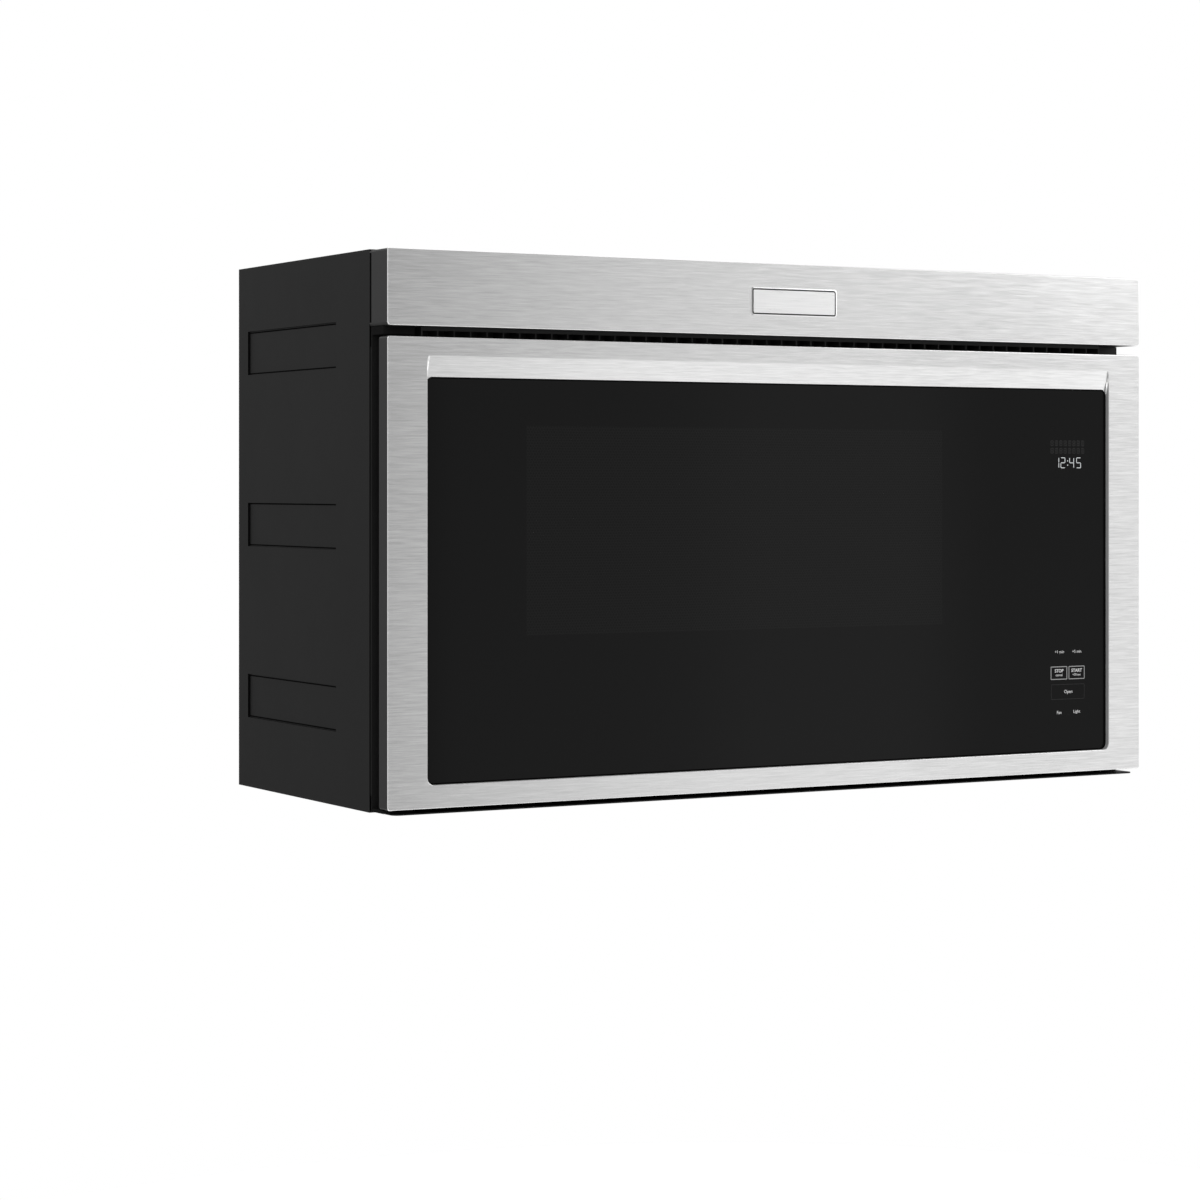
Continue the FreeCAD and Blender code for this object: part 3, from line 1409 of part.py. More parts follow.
def door_frame():
    """Plastic edge frame: a ring behind the steel, the web under the glass, a back wall."""
    y0, y1 = front + dim.skin, front + dim.slab_depth
    web = door_web_y()
    wall = dim.edge_wall
    outer = rectangle((-half_width, half_width), (dim.door_low, door_high))
    inner = rectangle((-half_width + wall, half_width - wall), (dim.door_low + wall, door_high - wall))
    body = new_body("door_frame_body")
    pad(body, "y", [outer, inner], (y0, y1))
    window = rectangle(*around_window(dim.inner_glass_lap))
    (left, right), (low, high) = control_spans()
    board = rectangle((left - wall, right + wall), (low - wall, high + wall))
    pad(body, "y", [outer, window, board], web)
    liner_x, liner_z = liner_spans()
    liner = rectangle((hinge_x - dim.stile_radius, liner_x[1]), liner_z)
    pad(body, "y", [outer, liner], (y1 - dim.back_wall, y1))
    for span in ((dim.door_low, liner_z[0]), (liner_z[1], door_high)):
        pocket(body, "y", [rectangle((hinge_x - dim.stile_radius, hinge_x + dim.stile_radius), span)],
               (web[1], y1))
    finish("door_frame", body)


def outer_glass():
    """Tempered black glass held against the steel's sunk rim."""
    x, z, lap = glass_x(), glass_z(), dim.glass_lap
    y = (front + dim.pocket_depth, front + dim.pocket_depth + dim.glass_thickness)
    body = new_body("outer_glass_body")
    pad(body, "y", [rectangle((x[0] - lap, x[1] + lap), (z[0] - lap, z[1] + lap))], y)
    round_corners(body, "y", dim.glass_corner,
                  rectangle((x[0] - lap, x[1] + lap), (z[0] - lap, z[1] + lap)))
    finish("outer_glass", body)


def control_board():
    """Touch key board with the clock display, flat against the back of the glass."""
    near = door_web_y()[0]
    back = near + dim.control_thickness
    x, z = control_spans()
    behind = (back, back + dim.display_thickness)
    middle = (x[0] + x[1]) / 2
    display_low = z[1] - dim.display_drop
    connector_low = z[0] + dim.connector_rise
    pieces = [block("touch_board", x, (near, back), z),
              block("display_module", (middle - dim.display_width / 2, middle + dim.display_width / 2),
                    behind, (display_low, display_low + dim.display_height)),
              block("board_connector", (middle - dim.connector_width / 2, middle + dim.connector_width / 2),
                    behind, (connector_low, connector_low + dim.connector_height))]
    finish("control_board", join("control_board_set", pieces))


def door_liner():
    """Steel choke pan behind the door with the perforated window pressed into it."""
    y1 = front + dim.liner_rear
    wall = dim.liner_sheet
    x, z = liner_spans()
    body = new_body("door_liner_body")
    pad(body, "y", [rectangle(x, z)], (door_web_y()[1], y1))
    pocket(body, "y", [rectangle((x[0] + wall, x[1] - wall), (z[0] + wall, z[1] - wall))],
           (door_web_y()[1], y1 - wall))
    gap = dim.choke_gap
    slots = []
    for middle in latch_heights():
        slots.append(rectangle(
            (latch_x - dim.hook_sheet / 2 - gap, latch_x + dim.hook_sheet / 2 + gap),
            (middle - dim.slot_half_height, middle + dim.slot_half_height)))
    pocket(body, "y", slots, (y1 - wall, y1))
    finish("door_liner", body)


def inner_glass():
    """Barrier glass laid on the perforated window inside the liner."""
    x, z = around_window(dim.inner_glass_lap)
    rear = front + dim.liner_rear - dim.liner_sheet
    finish("inner_glass", block("inner_pane", x, (rear - dim.inner_glass, rear), z))


def latch_hooks():
    """One bar with two hooks that reach through the liner into the latch board."""
    x = (latch_x - dim.hook_sheet / 2, latch_x + dim.hook_sheet / 2)
    liner_inside = front + dim.liner_rear - dim.liner_sheet
    bar_y = (liner_inside - dim.hook_tip - dim.choke_gap, liner_inside - dim.choke_gap)
    low, high = latch_heights()
    half = dim.hook_thickness_up / 2
    pieces = [block("hook_bar", x, bar_y, (low - half, high + half))]
    for name, middle in zip(("low", "high"), (low, high)):
        pieces.append(block(f"hook_arm_{name}", x, (bar_y[0], hook_tip_y()),
                            (middle - half, middle + half)))
    finish("latch_hooks", join("latch_hooks_set", pieces))


# ---------------------------------------------------------------- build


def build_all():
    wall_plate()
    rear_panel()
    outer_case()
    base_pan()
    case_screws()
    cord_gland()
    top_nuts()
    cavity_front_plate()
    oven_cavity()
    ceramic_floor()
    waveguide()
    stirrer()
    magnetron()
    transformer()
    capacitor()
    power_board()
    cooling_fan()
    blower_housing()
    blower_rotor()
    exhaust()
    vent_panel()
    charcoal_filter()
    exhaust_louvre()
    for name, middle in (("left", -grease_middle), ("right", grease_middle)):
        grease_filter(name, middle)
    for name, middle in (("left", -dim.lens_offset), ("right", dim.lens_offset)):
        cooktop_light(name, middle)
    cavity_lamp()
    latch_board()
    for name, middle in zip(("lower", "upper"), latch_heights()):
        interlock_switch(name, middle)
    hinge_brackets()
    hinge_stile()
    door_skin()
    door_frame()
    outer_glass()
    control_board()
    door_liner()
    inner_glass()
    latch_hooks()


def check_and_write():
    doc.recompute()
    for obj in doc.Objects:
        if "Invalid" in obj.State or "Error" in obj.State:
            raise RuntimeError(f"{obj.Name} failed: {obj.State}")
    for obj in subparts:
        if obj.Shape.isNull() or not obj.Shape.isValid():
            raise RuntimeError(f"{obj.Label} has no valid shape")
    os.makedirs("parts", exist_ok=True)
    for obj in subparts:
        obj.Shape.exportStep(f"parts/{obj.Label}.step")
    print(f"{len(subparts)} sub-parts written")


build_all()
check_and_write()
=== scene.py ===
import json
import math

import bmesh
import bpy
from mathutils import Matrix, Vector

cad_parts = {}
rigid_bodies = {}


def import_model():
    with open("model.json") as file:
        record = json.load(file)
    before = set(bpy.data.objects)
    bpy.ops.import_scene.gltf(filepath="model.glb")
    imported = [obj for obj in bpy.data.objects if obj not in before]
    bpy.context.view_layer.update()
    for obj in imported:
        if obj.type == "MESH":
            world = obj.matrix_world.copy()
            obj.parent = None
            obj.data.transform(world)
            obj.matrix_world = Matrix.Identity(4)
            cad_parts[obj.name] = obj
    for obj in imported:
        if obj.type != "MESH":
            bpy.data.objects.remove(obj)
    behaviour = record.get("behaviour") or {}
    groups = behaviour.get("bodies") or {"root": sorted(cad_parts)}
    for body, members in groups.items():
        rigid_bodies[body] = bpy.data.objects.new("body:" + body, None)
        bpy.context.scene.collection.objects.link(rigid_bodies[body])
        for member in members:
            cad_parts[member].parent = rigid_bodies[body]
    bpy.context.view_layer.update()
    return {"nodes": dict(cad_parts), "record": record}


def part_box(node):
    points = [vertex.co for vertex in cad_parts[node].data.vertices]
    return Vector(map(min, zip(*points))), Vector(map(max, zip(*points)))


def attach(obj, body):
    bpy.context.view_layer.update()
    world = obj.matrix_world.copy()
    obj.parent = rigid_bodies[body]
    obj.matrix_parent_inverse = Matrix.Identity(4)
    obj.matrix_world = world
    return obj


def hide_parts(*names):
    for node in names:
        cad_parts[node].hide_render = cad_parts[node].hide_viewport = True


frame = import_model()
nodes = frame["nodes"]
scene = bpy.context.scene
mm = 0.001

for leftover in [o for o in bpy.data.objects if o.name in ("Cube", "Light", "Camera")]:
    bpy.data.objects.remove(leftover)

# the front plane of the steel, the glass face and the liner's back, as the frame has them
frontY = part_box("vent_panel")[0].y
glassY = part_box("outer_glass")[0].y
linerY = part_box("door_liner")[1].y

print("frame loaded:", len(nodes), "nodes")


# node helpers

def addNode(tree, kind, **settings):
    made = tree.nodes.new(kind)
    for key, value in settings.items():
        setattr(made, key, value)
    return made


def give(tree, socket, source):
    # a socket takes a link or a constant; one number on a colour's socket is a grey
    if isinstance(source, bpy.types.NodeSocket):
        tree.links.new(source, socket)
    elif socket.type == "RGBA":
        socket.default_value = (*source, 1) if isinstance(source, tuple) else (source, source, source, 1)
    else:
        socket.default_value = source


def wired(tree, kind, *sources, **settings):
    # a node whose first sockets take the sources in order
    made = addNode(tree, kind, **settings)
    for socket, source in zip(made.inputs, sources):
        give(tree, socket, source)
    return made.outputs


def feed(tree, node, **sources):
    # the node's sockets of these names take the sources
    for label, source in sources.items():
        give(tree, node.inputs[label.replace("_", " ")], source)
    return node


def maths(tree, operation, *values):
    return wired(tree, "ShaderNodeMath", *values, operation=operation)[0]


def product(tree, first, *others):
    for other in others:
        first = maths(tree, "MULTIPLY", first, other)
    return first


def ranged(tree, source, low, high, fromLow=0.0, fromHigh=1.0):
    return wired(tree, "ShaderNodeMapRange", source, fromLow, fromHigh, low, high)[0]


# the first of a mix node's two value sockets, and its result, for each kind of value
mixSockets = {"FLOAT": (2, 0), "RGBA": (6, 2)}


def blended(tree, factor, dark, light, kind="RGBA"):
    made = addNode(tree, "ShaderNodeMix", data_type=kind)
    first, result = mixSockets[kind]
    for socket, source in zip((made.inputs["Factor"], *made.inputs[first:first + 2]), (factor, dark, light)):
        give(tree, socket, source)
    return made.outputs[result]


def bumped(tree, height, strength, distance):
    made = addNode(tree, "ShaderNodeBump")
    return feed(tree, made, Height=height, Strength=strength, Distance=distance).outputs["Normal"]


def objectPlace(tree):
    return addNode(tree, "ShaderNodeTexCoord").outputs["Object"]


def objectParts(tree):
    return wired(tree, "ShaderNodeSeparateXYZ", objectPlace(tree))


def newGroup(name, inputs, outputs):
    tree = bpy.data.node_groups.new(name, "ShaderNodeTree")
    for label, default in inputs.items():
        socket = tree.interface.new_socket(name=label, in_out="INPUT", socket_type="NodeSocketFloat")
        socket.default_value = default
    for label in outputs:
        tree.interface.new_socket(name=label, in_out="OUTPUT", socket_type="NodeSocketFloat")
    return tree, addNode(tree, "NodeGroupInput"), addNode(tree, "NodeGroupOutput")


def placeGroup(tree, group, **values):
    return feed(tree, addNode(tree, "ShaderNodeGroup", node_tree=group), **values).outputs


def noiseIn(tree, vector, scale, detail, roughness=0.55):
    made = addNode(tree, "ShaderNodeTexNoise")
    return feed(tree, made, Vector=vector, Scale=scale, Detail=detail, Roughness=roughness).outputs["Fac"]


# effects that several finishes share; each spread is the part of its range that a noise really fills

grainSizes = {"streakSpread": (0.32, 0.68), "streakDetail": 3.0, "streakRoughness": 0.6,
              "speckSpread": (0.3, 0.7), "speckDetail": 2.0, "patchDetail": 4.0}

# length, fineness and share of the two layers of scratches
streakLayers = ((1.0, 1.0, 0.45), (1.5, 0.45, 0.55))


def streakGroup():
    # long scratches along X: the grain of brushed steel
    tree, start, end = newGroup("brushedStreaks", {"Length": 9.0, "Fineness": 1500.0}, ["Streak", "Height"])
    place = objectParts(tree)
    layers = []
    for length, fineness, share in streakLayers:
        along = product(tree, place["X"], start.outputs["Length"], length)
        fine = product(tree, start.outputs["Fineness"], fineness)
        spot = wired(tree, "ShaderNodeCombineXYZ", along, product(tree, place["Y"], fine),
                     product(tree, place["Z"], fine))[0]
        noise = noiseIn(tree, spot, 1.0, grainSizes["streakDetail"], grainSizes["streakRoughness"])
        layers.append(product(tree, noise, share))
    streak = maths(tree, "ADD", *layers)
    feed(tree, end, Streak=ranged(tree, streak, 0.0, 1.0, *grainSizes["streakSpread"]), Height=streak)
    return tree


def speckGroup():
    # fine grain of powder coat and moulded plastic, with a slower unevenness
    tree, start, end = newGroup("fineSpeck", {"Grain": 1800.0, "Patch": 9.0}, ["Speck", "Patch", "Height"])
    place = objectPlace(tree)
    speck = noiseIn(tree, place, start.outputs["Grain"], grainSizes["speckDetail"])
    patch = noiseIn(tree, place, start.outputs["Patch"], grainSizes["patchDetail"])
    feed(tree, end, Speck=ranged(tree, speck, 0.0, 1.0, *grainSizes["speckSpread"]),
         Patch=ranged(tree, patch, 0.0, 1.0, *grainSizes["speckSpread"]), Height=speck)
    return tree


def holeGroup():
    # rows of round holes, every second row shifted half a pitch, seen along Y
    tree, start, end = newGroup("holeRows", {"Pitch": 0.003, "Share": 0.32}, ["Hole"])
    place, pitch = objectParts(tree), start.outputs["Pitch"]
    rowHeight = 0.866
    across = maths(tree, "DIVIDE", place["X"], pitch)
    up = maths(tree, "DIVIDE", maths(tree, "DIVIDE", place["Z"], pitch), rowHeight)
    odd = product(tree, maths(tree, "FLOORED_MODULO", maths(tree, "FLOOR", up), 2.0), 0.5)
    inAcross = maths(tree, "SUBTRACT", maths(tree, "FRACT", maths(tree, "ADD", across, odd)), 0.5)
    inUp = product(tree, maths(tree, "SUBTRACT", maths(tree, "FRACT", up), 0.5), rowHeight)
    squares = maths(tree, "ADD", product(tree, inAcross, inAcross), product(tree, inUp, inUp))
    feed(tree, end, Hole=maths(tree, "LESS_THAN", maths(tree, "SQRT", squares), start.outputs["Share"]))
    return tree


def panelGroup():
    # one inside a rectangle across X and up Z, zero outside
    limits = {"Left": ("GREATER_THAN", "X"), "Right": ("LESS_THAN", "X"), "Low": ("GREATER_THAN", "Z"),
              "High": ("LESS_THAN", "Z")}
    tree, start, end = newGroup("insidePanel", dict.fromkeys(limits, 0.0), ["Inside"])
    place = objectParts(tree)
    feed(tree, end, Inside=product(tree, *(maths(tree, test, place[axis], start.outputs[label])
                                           for label, (test, axis) in limits.items())))
    return tree


streaks = streakGroup()
specks = speckGroup()
holes = holeGroup()
panel = panelGroup()

# the see-through window behind the glass, which the inner glass laps
windowSizes = {"lap": 12 * mm, "pitch": 2.6 * mm, "holeShare": 0.33}
innerLow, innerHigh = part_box("inner_glass")
windowPlace = {"Left": innerLow.x + windowSizes["lap"], "Right": innerHigh.x - windowSizes["lap"],
               "Low": innerLow.z + windowSizes["lap"], "High": innerHigh.z - windowSizes["lap"]}


# finishes: colours are linear, scales of grain and patches are per metre

def newFinish(name, **values):
    material = bpy.data.materials.new(name)
    material.use_nodes = True
    tree = material.node_tree
    return material, tree, feed(tree, tree.nodes["Principled BSDF"], **values)


def dress(tree, shader, colour, uneven, look, height=None):
    # the colour, a roughness that follows the unevenness, and relief where a height is given
    feed(tree, shader, Base_Color=colour, Roughness=ranged(tree, uneven, *look["roughness"]))
    if height is not None:
        feed(tree, shader, Normal=bumped(tree, height, look["bump"], look["depth"]))


def grainOf(tree, look):
    return placeGroup(tree, specks, Grain=look["grain"], Patch=look["patch"])


def windowHoles(tree):
    # masks of the window and of the rows of holes
    hole = placeGroup(tree, holes, Pitch=windowSizes["pitch"], Share=windowSizes["holeShare"])
    return placeGroup(tree, panel, **windowPlace)["Inside"], hole["Hole"]


def brushedFinish(name, dark, light, roughness, length, fineness, bump):
    look = {"grain": 420.0, "patch": 5.0, "uneven": 0.02, "depth": 0.05 * mm}
    material, tree, shader = newFinish(name, Metallic=1.0)
    grain = placeGroup(tree, streaks, Length=length, Fineness=fineness)
    speck = grainOf(tree, look)
    uneven = ranged(tree, speck["Patch"], -look["uneven"], look["uneven"])
    feed(tree, shader, Base_Color=blended(tree, grain["Streak"], dark, light),
         Roughness=maths(tree, "ADD", ranged(tree, grain["Streak"], *roughness), uneven),
         Normal=bumped(tree, grain["Height"], bump, look["depth"]))
    return material


def coatedFinish(name, dark, light, roughness, grain=1800.0, bump=0.15, specular=0.5):
    # paint, powder coat and moulded plastic
    look = {"grain": grain, "patch": 9.0, "speckShare": 0.45, "patchShare": 0.55, "roughness": roughness,
            "bump": bump, "depth": 0.04 * mm}
    material, tree, shader = newFinish(name, Specular_IOR_Level=specular)
    speck = grainOf(tree, look)
    mixed = maths(tree, "ADD", product(tree, speck["Speck"], look["speckShare"]),
                  product(tree, speck["Patch"], look["patchShare"]))
    dress(tree, shader, blended(tree, mixed, dark, light), speck["Patch"], look, speck["Height"])
    return material


def zincFinish(name, dark, light, scale):
    # crystal pattern of zinc on sheet steel
    look = {"warpScale": 0.6, "warpDetail": 3.0, "warp": 0.006, "roughness": (0.32, 0.5), "grain": 900.0,
            "patch": 20.0, "bump": 0.1, "depth": 0.03 * mm}
    material, tree, shader = newFinish(name, Metallic=1.0)
    place = objectPlace(tree)
    warp = noiseIn(tree, place, scale * look["warpScale"], look["warpDetail"])
    spread = addNode(tree, "ShaderNodeVectorMath", operation="SCALE")
    give(tree, spread.inputs[0], wired(tree, "ShaderNodeCombineXYZ", warp, warp, warp)[0])
    feed(tree, spread, Scale=look["warp"])
    shifted = wired(tree, "ShaderNodeVectorMath", place, spread.outputs[0], operation="ADD")[0]
    cells = feed(tree, addNode(tree, "ShaderNodeTexVoronoi"), Vector=shifted, Scale=scale)
    shade = wired(tree, "ShaderNodeSeparateColor", cells.outputs["Color"])
    speck = grainOf(tree, look)
    dress(tree, shader, blended(tree, shade[0], dark, light), shade[1], look, speck["Height"])
    return material


def blackGlass():
    # black print behind the glass; the perforated sheet shows faintly through the window
    look = {"black": 0.0033, "window": 0.0066, "hole": 0.0036, "specular": 0.13, "grain": 60.0, "patch": 7.0,
            "roughness": (0.02, 0.06)}
    material, tree, shader = newFinish("blackGlass", Specular_IOR_Level=look["specular"])
    window, hole = windowHoles(tree)
    sheet = blended(tree, hole, look["window"], look["hole"])
    smear = grainOf(tree, look)
    dress(tree, shader, blended(tree, window, look["black"], sheet), smear["Patch"], look)
    return material


def clearGlass():
    look = {"colour": (0.93, 0.96, 0.95), "grain": 80.0, "patch": 9.0, "roughness": (0.01, 0.05)}
    material, tree, shader = newFinish("clearGlass", Transmission_Weight=1.0, IOR=1.5)
    dress(tree, shader, look["colour"], grainOf(tree, look)["Patch"], look)
    return material


def linerPaint():
    # the door's inner pan: dark enamel, with rows of holes pressed through its window
    look = {"dark": 0.020, "light": 0.028, "hole": 0.002, "specular": 0.4, "grain": 1500.0, "patch": 8.0,
            "roughness": (0.38, 0.9), "bump": 0.5, "depth": 0.3 * mm}
    material, tree, shader = newFinish("linerPaint", Specular_IOR_Level=look["specular"])
    cut = product(tree, *windowHoles(tree))
    speck = grainOf(tree, look)
    paint = blended(tree, speck["Patch"], look["dark"], look["light"])
    dress(tree, shader, blended(tree, cut, paint, look["hole"]), cut, look, maths(tree, "SUBTRACT", 1.0, cut))
    return material


def cavityEnamel():
    # pale grey enamel with fine dark flecks
    look = {"dark": (0.36, 0.36, 0.355), "light": (0.38, 0.38, 0.37), "fleck": 0.08, "fleckScale": 620.0,
            "fleckDetail": 2.0, "fleckLevel": 0.66, "grain": 700.0, "patch": 6.0, "roughness": (0.30, 0.34),
            "bump": 0.12, "depth": 0.05 * mm}
    material, tree, shader = newFinish("cavityEnamel", Coat_Weight=0.35, Coat_Roughness=0.12)
    fleck = noiseIn(tree, objectPlace(tree), look["fleckScale"], look["fleckDetail"])
    mask = maths(tree, "GREATER_THAN", fleck, look["fleckLevel"])
    speck = grainOf(tree, look)
    coat = blended(tree, speck["Patch"], look["dark"], look["light"])
    dress(tree, shader, blended(tree, mask, coat, look["fleck"]), speck["Patch"], look, speck["Height"])
    return material


def boardGreen():
    # solder mask with straight copper tracks under it
    look = {"dark": (0.008, 0.060, 0.022), "light": (0.012, 0.085, 0.032), "track": (0.030, 0.150, 0.050),
            "tracks": {"Scale": 180.0, "Mortar_Size": 0.06, "Brick_Width": 1.3, "Row_Height": 0.34},
            "grain": 500.0, "patch": 40.0, "roughness": (0.3, 0.45)}
    material, tree, shader = newFinish("boardGreen", Coat_Weight=0.3)
    turned = feed(tree, addNode(tree, "ShaderNodeMapping"), Vector=objectPlace(tree),
                  Rotation=(math.radians(90), 0, math.radians(90)))
    tracks = feed(tree, addNode(tree, "ShaderNodeTexBrick"), Vector=turned.outputs[0], **look["tracks"])
    speck = grainOf(tree, look)
    mask = blended(tree, speck["Patch"], look["dark"], look["light"])
    dress(tree, shader, blended(tree, tracks.outputs["Fac"], mask, look["track"]), speck["Patch"], look)
    return material


def lensFrost():
    # frosted plastic with fine prism lines
    look = {"dark": (0.80, 0.81, 0.80), "light": (0.88, 0.89, 0.88), "grain": 900.0, "patch": 30.0,
            "roughness": (0.35, 0.5), "prisms": 120.0, "bump": 0.5, "depth": 0.3 * mm}
    material, tree, shader = newFinish("lensFrost", Transmission_Weight=0.55, IOR=1.49)
    speck = grainOf(tree, look)
    waves = addNode(tree, "ShaderNodeTexWave", wave_type="BANDS", bands_direction="X")
    feed(tree, waves, Vector=objectPlace(tree), Scale=look["prisms"])
    colour = blended(tree, speck["Patch"], look["dark"], look["light"])
    dress(tree, shader, colour, speck["Speck"], look, waves.outputs["Fac"])
    return material


def charcoalFinish():
    # loose black granules behind the cassette's net, each lighter at its middle and darker towards its edges:
    # painted shade between the granules
    look = {"near": 0.014, "far": 0.004, "granules": 420.0, "roughness": (0.45, 0.8), "bump": 0.9,
            "depth": 1.2 * mm}
    material, tree, shader = newFinish("charcoal", Specular_IOR_Level=0.3)
    cells = addNode(tree, "ShaderNodeTexVoronoi")
    away = feed(tree, cells, Vector=objectPlace(tree), Scale=look["granules"]).outputs["Distance"]
    dress(tree, shader, blended(tree, away, look["near"], look["far"]), away, look, away)
    return material


def clockGlow():
    # lit segments of the clock
    look = {"dark": (0.7360, 0.7728, 0.7912), "light": (0.80, 0.84, 0.86), "unlit": 0.2, "strength": 0.64,
            "grain": 2200.0, "patch": 300.0}
    material, tree, shader = newFinish("clockGlow", Base_Color=look["unlit"], Roughness=0.5,
                                       Emission_Strength=look["strength"])
    speck = grainOf(tree, look)
    feed(tree, shader, Emission_Color=blended(tree, speck["Patch"], look["dark"], look["light"]))
    return material


finishes = {
    "stainless": brushedFinish("stainless", 0.615, 0.775, (0.18, 0.23), 30.0, 1500.0, 0.02),
    "dark_frame": coatedFinish("darkFrame", 0.021, 0.029, (0.42, 0.54), specular=0.3),
    "case_paint": coatedFinish("casePaint", 0.0085, 0.0120, (0.40, 0.50), 1300.0, 0.2, 0.14),
    "plate_steel": zincFinish("plateSteel", 0.40, 0.53, 105.0),
    "badge_metal": brushedFinish("badgeMetal", 0.76, 0.86, (0.26, 0.34), 20.0, 1900.0, 0.08),
    "black_glass": blackGlass(),
    "clear_glass": clearGlass(),
    "black_plastic": coatedFinish("blackPlastic", 0.012, 0.020, (0.42, 0.55), 1600.0, 0.2),
    "cavity_enamel": cavityEnamel(),
    "ceramic": coatedFinish("ceramicFloor", (0.60, 0.59, 0.55), (0.68, 0.67, 0.63), (0.08, 0.14),
                            900.0, 0.03),
    "bare_steel": zincFinish("bareSteel", 0.44, 0.55, 190.0),
    "aluminium": brushedFinish("aluminium", 0.66, 0.78, (0.3, 0.42), 60.0, 1100.0, 0.1),
    "white_plastic": coatedFinish("whitePlastic", (0.70, 0.70, 0.67), (0.78, 0.78, 0.75), (0.4, 0.5)),
    "switch_plastic": coatedFinish("switchPlastic", (0.42, 0.37, 0.28), (0.50, 0.45, 0.35), (0.4, 0.5)),
    "board_green": boardGreen(),
    "lens_frost": lensFrost(),
    "lamp_white": coatedFinish("lampWhite", 0.72, 0.80, (0.35, 0.45)),
    "charcoal": charcoalFinish(),
}
printInk = coatedFinish("printInk", 0.66, 0.76, (0.45, 0.55), 2500.0, 0.05, 0.3)
printFaint = coatedFinish("printFaint", 0.0125, 0.0145, (0.45, 0.55), 2500.0, 0.05, 0.2)
printFrame = coatedFinish("printFrame", 0.32, 0.37, (0.45, 0.55), 2500.0, 0.05, 0.3)
linerFinish = linerPaint()
louvreFinish = coatedFinish("louvreBlack", 0.026, 0.032, (0.5, 0.62), 1600.0, 0.15, 0.2)
cutEdge = coatedFinish("cutEdge", 0.32, 0.37, (0.4, 0.5), 1500.0, 0.08, 0.3)
# painted shade: a near-black matte finish put on rib walls and rib outlines, the vent's seam, the glass's
# border and the cavity's holes, standing for the shade there
paintedShade = coatedFinish("paintedShade", 0.0015, 0.0025, (0.75, 0.85), 1300.0, 0.1, 0.02)
# painted shade: steel made near black with no sheen for the hinge brackets, standing for the shade of the
# slot beside the door where they sit
slotShadeSteel = coatedFinish("slotShadeSteel", 0.010, 0.013, (0.8, 0.9), 900.0, 0.1, 0.0)
clockFinish = clockGlow()

bodyOf = {name: body for body, held in frame["record"]["behaviour"]["bodies"].items() for name in held}
slotOf = {}
for name, node in nodes.items():
    for place in node.material_slots:
        slotOf[name] = place.material.name.split(".")[0]
        place.material = finishes[slotOf[name]]

print("finishes ready:", len(finishes))


# mesh helpers

touch = 0.01 * mm
quarter = math.radians(90)
upright = Matrix.Rotation(quarter, 4, "X")

# angles in degrees; the distances within which doubled points become one; steps of round corners
meshing = {"ownAngle": 35, "copyAngle": 30, "flatAngle": 0.5, "ownJoin": 1e-7, "copyJoin": 1e-6,
           "frameSteps": 8, "plateSteps": 6, "softSteps": 2}


def addObject(name, data):
    made = bpy.data.objects.new(name, data)
    scene.collection.objects.link(made)
    return made


def addPiece(name, mesh, body, materials, replaced=()):
    piece = addObject(name, mesh)
    for material in materials:
        mesh.materials.append(material)
    if replaced:
        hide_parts(*replaced)
    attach(piece, body)
    return piece


def meshFrom(name, bm, smoothAngle=None):
    mesh = bpy.data.meshes.new(name)
    bm.to_mesh(mesh)
    bm.free()
    if smoothAngle:
        mesh.polygons.foreach_set("use_smooth", [True] * len(mesh.polygons))
        mesh.set_sharp_from_angle(angle=math.radians(smoothAngle))
    return mesh


def addShape(name, bm, body, slotName, *materials, replaced=()):
    # closes the shape up and makes it a piece
    bmesh.ops.remove_doubles(bm, verts=bm.verts, dist=meshing["ownJoin"])
    bmesh.ops.recalc_face_normals(bm, faces=bm.faces)
    return addPiece(name, meshFrom(name, bm, meshing["ownAngle"]), body, materials, replaced)


def bevelPart(bm, geom, offset, segments, affect="EDGES", clamp=False):
    bmesh.ops.bevel(bm, geom=list(geom), offset=offset, segments=segments, profile=0.5, affect=affect,
                    material=-1, clamp_overlap=clamp)


def addBlock(bm, low, high, material=0):
    # a box between two corners
    low, high = Vector(low), Vector(high)
    place = Matrix.Translation((low + high) / 2) @ Matrix.Diagonal((*(high - low), 1))
    made = bmesh.ops.create_cube(bm, size=1.0, matrix=place)
    for face in {face for vert in made["verts"] for face in vert.link_faces}:
        face.material_index = material


def addDisc(bm, centre, radius, thickness, axis, sides, bevel=0.0):
    turn = {"X": Matrix.Rotation(quarter, 4, "Y"), "Y": upright, "Z": Matrix.Identity(4)}[axis]
    made = bmesh.ops.create_cone(bm, cap_ends=True, segments=sides, radius1=radius, radius2=radius,
                                 depth=thickness, matrix=Matrix.Translation(centre) @ turn)
    if bevel:
        caps = {face for vert in made["verts"] for face in vert.link_faces if len(face.verts) > 4}
        bevelPart(bm, {edge for face in caps for edge in face.edges}, bevel, meshing["softSteps"])


def addCross(bm, centre, axis, reach, half, lift, material=0):
    # two crossed bars that stand the lift out of a plane across the axis
    for long, wide in ((reach, half), (half, reach)):
        size = Vector((long, lift, wide) if axis == "Y" else (long, wide, lift))
        addBlock(bm, centre - size, centre + size, material)


def addSheet(bm, left, right, low, high, y, corner, segments):
    # one upright face with round corners
    place = Matrix.Translation(((left + right) / 2, y, (low + high) / 2)) @ upright \
        @ Matrix.Diagonal((right - left, high - low, 1, 1))
    made = bmesh.ops.create_grid(bm, x_segments=1, y_segments=1, size=0.5, matrix=place)
    bevelPart(bm, made["verts"], corner, segments, "VERTICES")
    return max(bm.faces, key=lambda face: face.calc_area())


def thicken(bm, faces, depth):
    # gives faces a thickness along Y
    made = bmesh.ops.extrude_face_region(bm, geom=faces)
    moved = [item for item in made["geom"] if isinstance(item, bmesh.types.BMVert)]
    bmesh.ops.translate(bm, verts=moved, vec=(0, depth, 0))


